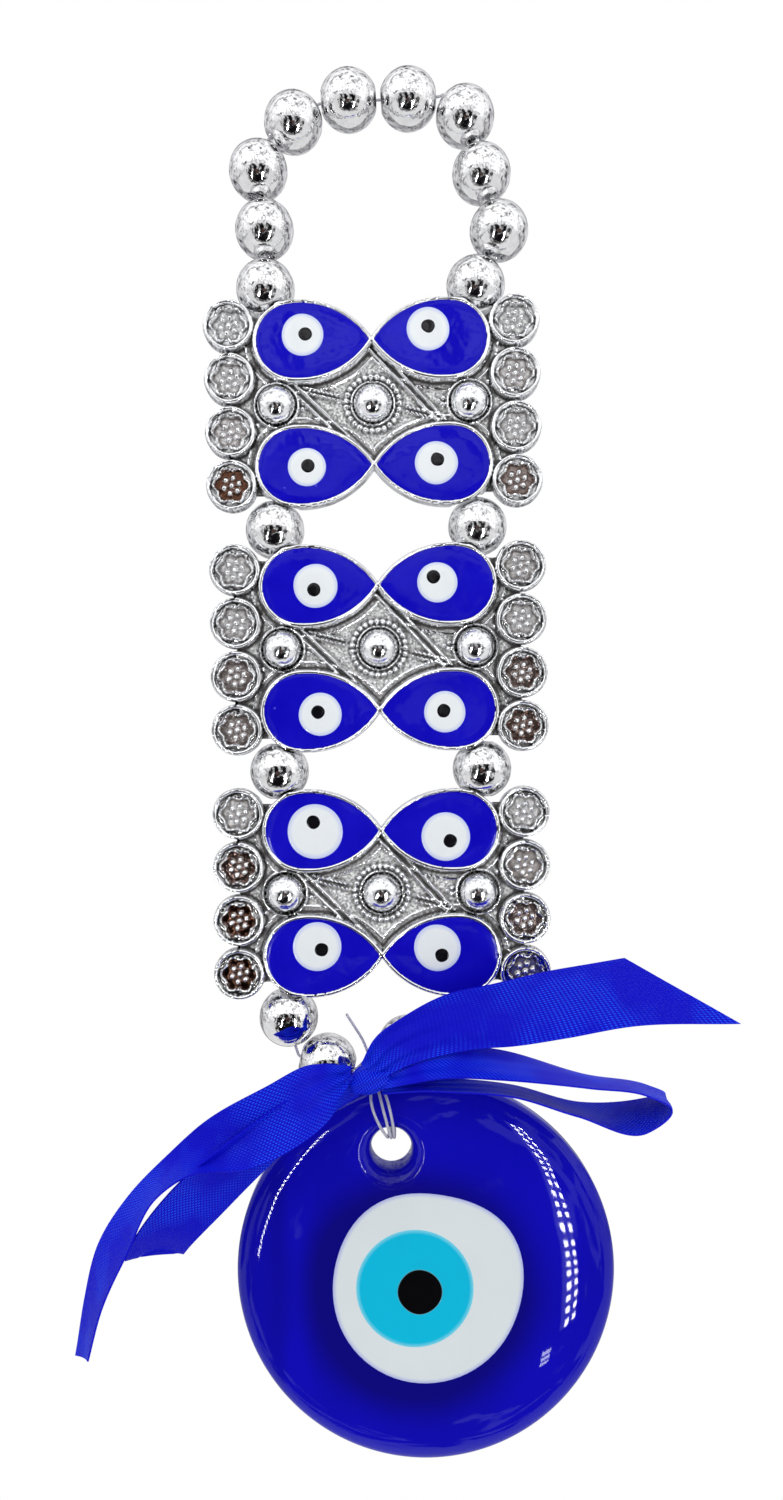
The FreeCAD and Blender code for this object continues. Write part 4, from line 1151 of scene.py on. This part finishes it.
def ribbonSurface(name, count=150, across=25):
    # a smooth band through its stations, cupped across as 1 - v^2, with pleats that fade from the knot
    form = ribbonForms[name]
    first, second = (smoothLine([s[k] for s in ribbonRuns[name]], count) for k in (0, 1))
    v = np.linspace(-1, 1, across)
    middle, half = (first + second) / 2, (second - first) / 2
    sheet = middle[:, None] + v[:, None] * half[:, None]
    along = np.gradient(sheet, axis=0)
    side = np.gradient(sheet, axis=1)
    normal = np.cross(along, side)
    normal /= np.linalg.norm(normal, axis=2)[..., None]
    run = np.concatenate([[0], np.cumsum(np.linalg.norm(np.diff(middle, axis=0), axis=1))])
    fromKnot = np.minimum(run, run[-1] - run) if form["bothEnds"] else run
    fade = np.exp(-fromKnot / 9)[:, None] * np.clip(fromKnot / 1.5, 0, 1)[:, None]
    cup = form["cup"] * np.clip(fromKnot / 12, 0, 1)[:, None] * (1 - v**2)
    waves = 0.22 * np.sin(run / 5.3 + 1.1)[:, None] * np.sin(2.4 * v + 0.6) * np.clip(fromKnot / 10, 0, 1)[:, None]
    pleats = form["pleat"] * fade * np.cos(3 * math.pi * v)
    sheet = sheet + (cup + waves + pleats)[..., None] * normal
    uv = np.stack(np.broadcast_arrays(run[:, None] * mm, v * ribbonLook["width"] / 2 * mm), -1)
    return sheet, uv


def thickened(sheet, uv, thickness):
    # both faces of a band, joined round its edges: the middle surface plus and minus half its thickness
    along, side = np.gradient(sheet, axis=0), np.gradient(sheet, axis=1)
    normal = np.cross(along, side)
    normal /= np.linalg.norm(normal, axis=2)[..., None]
    upper, lower = sheet + normal * thickness / 2, sheet - normal * thickness / 2
    ring = np.concatenate([upper, lower[:, ::-1]], 1) * mm
    return block(ring, uv=np.concatenate([uv, uv[:, ::-1]], 1))


def knotBlocks():
    # the knot: a drum of wrapped ribbon whose radius swells with slanting folds, closed at both ends
    middle = np.array(ribbonLook["knotMiddle"])
    t = np.linspace(0, math.pi, 40)
    across = -3.7 * np.cos(t)
    body = np.clip(np.sin(t), 0.02, 1) ** 0.55
    angle = np.linspace(0, tau, 120, endpoint=False)
    folds = 1 + 0.07 * np.sin(7 * angle + across[:, None] * 0.9) + 0.05 * np.sin(3 * angle - across[:, None] * 0.6)
    tall = ribbonLook["knotRadius"] * body[:, None] * folds
    x = middle[0] + across[:, None] * (1 + 0.05 * np.sin(angle * 2 + 1)) + 0.22 * tall * np.sin(angle)
    y = middle[1] + tall * np.cos(angle)
    z = middle[2] + tall * np.sin(angle) + 0.12 * across[:, None]
    uv = np.stack(np.broadcast_arrays(angle * 2.7 * mm, across[:, None] * 1.4 * mm), -1)
    drum = block(np.stack(np.broadcast_arrays(x, y, z), -1) * mm, uv=uv)
    # a narrow band from the knot round the nylon knot behind it
    turn = np.linspace(0, tau, 96, endpoint=False)
    section = np.array([(-0.17, -0.25), (0.17, -0.25), (0.17, 0.25), (-0.17, 0.25)])
    reach = ribbonLook["bandRadius"] + section[:, 0][:, None]
    bx = middle[0] + reach * np.cos(turn)
    by = reach * np.sin(turn) - 0.6 * (np.sin(turn) < -0.5)
    bz = ribbonLook["bandUp"] + section[:, 1][:, None] + 0 * turn
    uvBand = np.stack(np.broadcast_arrays(turn * 1.9 * mm, section[:, 1][:, None] * mm), -1)
    band = block(np.stack([bx, by, bz], -1) * mm, closeRows=True, uv=uvBand)
    # the neck that joins them
    depth = np.linspace(-5.6, -1.7, 8)
    neckX, neckZ = middle[0] + 1.15 * np.cos(turn), ribbonLook["bandUp"] + 0.35 * np.sin(turn)
    neck = np.stack(np.broadcast_arrays(neckX, depth[:, None], neckZ), -1) * mm
    neckUv = np.stack(np.broadcast_arrays(depth[:, None] * mm, turn * mm), -1)
    return [drum, band, block(neck, uv=neckUv)]


def makeRibbon():
    satin = satinMaterial()
    knot = makePiece("ribbon_tied_knot", knotBlocks(), satin, "v_link", ["ribbon_knot"], "ribbon")
    for name, form in ribbonForms.items():
        sheet, uv = ribbonSurface(name)
        band = thickened(sheet, uv, ribbonLook["thickness"])
        piece = makePiece(name + "_satin", [band], satin, "v_link", [name], "ribbon")
        print(name, "ready")


makeRibbon()

# ---- filament, thread and the nylon knot ----

threadLook = {
    "radius": 0.27,
    "clear": (0.86, 0.86, 0.94),
    "knot": (-1.2, 0.0, -173.0),
    "pivot": (2.4, 0.0, -185.8),
}


def clearMaterial(name, colour, through, roughness):
    material, tree, shader = newMaterial(name)
    where = objectSpace(tree)
    grain = node(tree, "ShaderNodeTexNoise", {"Vector": where, "Scale": 1500.0, "Detail": 2.0}).outputs["Fac"]
    tree.links.new(mixColour(tree, grain, colour, [c * 0.75 for c in colour]), shader.inputs["Base Color"])
    dull = ramp(tree, grain, [(0.3, (roughness,) * 3), (0.8, (roughness * 2,) * 3)])
    tree.links.new(dull, shader.inputs["Roughness"])
    setShader(shader, Transmission_Weight=through, IOR=1.53)
    bump(tree, shader, grain, 0.2, 0.0001)
    return material


def makeThreads():
    clear = clearMaterial("clearFilament", threadLook["clear"], 0.45, 0.12)
    for name, found in frame["nodes"].items():
        if name.endswith("strings") or name in ("loop_string", "nylon_loose_end"):
            found.data.materials.clear()
            found.data.materials.append(clear)
    knot, pivot = np.array(threadLook["knot"]), np.array(threadLook["pivot"])
    lean = (pivot - knot) / np.linalg.norm(pivot - knot)
    drop = np.linalg.norm(pivot - knot)
    turns = []
    for start, end, reach in ((-1.9, -0.62, 0.15), (0.1, -0.05, -0.1), (1.35, 0.5, 0.1)):
        # down the front of the glass, through its hole and up the back: spread, depth and distance below the knot
        route = [
            (0.05, -0.3, 1.75), (0.3, -2.4, 3.5), (0.9, -5.1, 6.2), (0.55, -5.25, drop - 2.2),
            (0.1, -4.3, drop - 0.2), (0, -1.5, drop + 0.5), (0, 1.6, drop + 0.5), (0.1, 4.2, drop - 0.4),
            (0.5, 4.5, drop - 2.2), (0.8, 4.3, 6.2), (0.3, 2.2, 3.4), (0.05, 0.3, 1.75),
        ]
        points = []
        for spread, depth, below in route:
            side = end + (start - end) * spread
            points.append(knot + lean * below + np.array((side, depth + reach * (abs(depth) > 3), 0)))
        line = smoothLine(points, 120)
        turns.append(block(tube(line * mm, threadLook["radius"] * mm)))
    makePiece("thread_turns", turns, clear, "threads", ["thread_wraps"], "clear_string")
    # the nylon's own knot: a trefoil
    t = np.linspace(0, tau, 160, endpoint=False)
    wound = [np.sin(t) + 2 * np.sin(2 * t), -np.sin(3 * t) * 1.6, np.cos(t) - 2 * np.cos(2 * t)]
    line = np.stack(wound, 1) * 0.33 + knot
    closed = np.concatenate([line, line[:1]])
    makePiece("nylon_tied_knot", [block(tube(closed * mm, 0.26 * mm))], clear, "knot", ["nylon_knot"], "clear_string")


makeThreads()
print("threads ready")
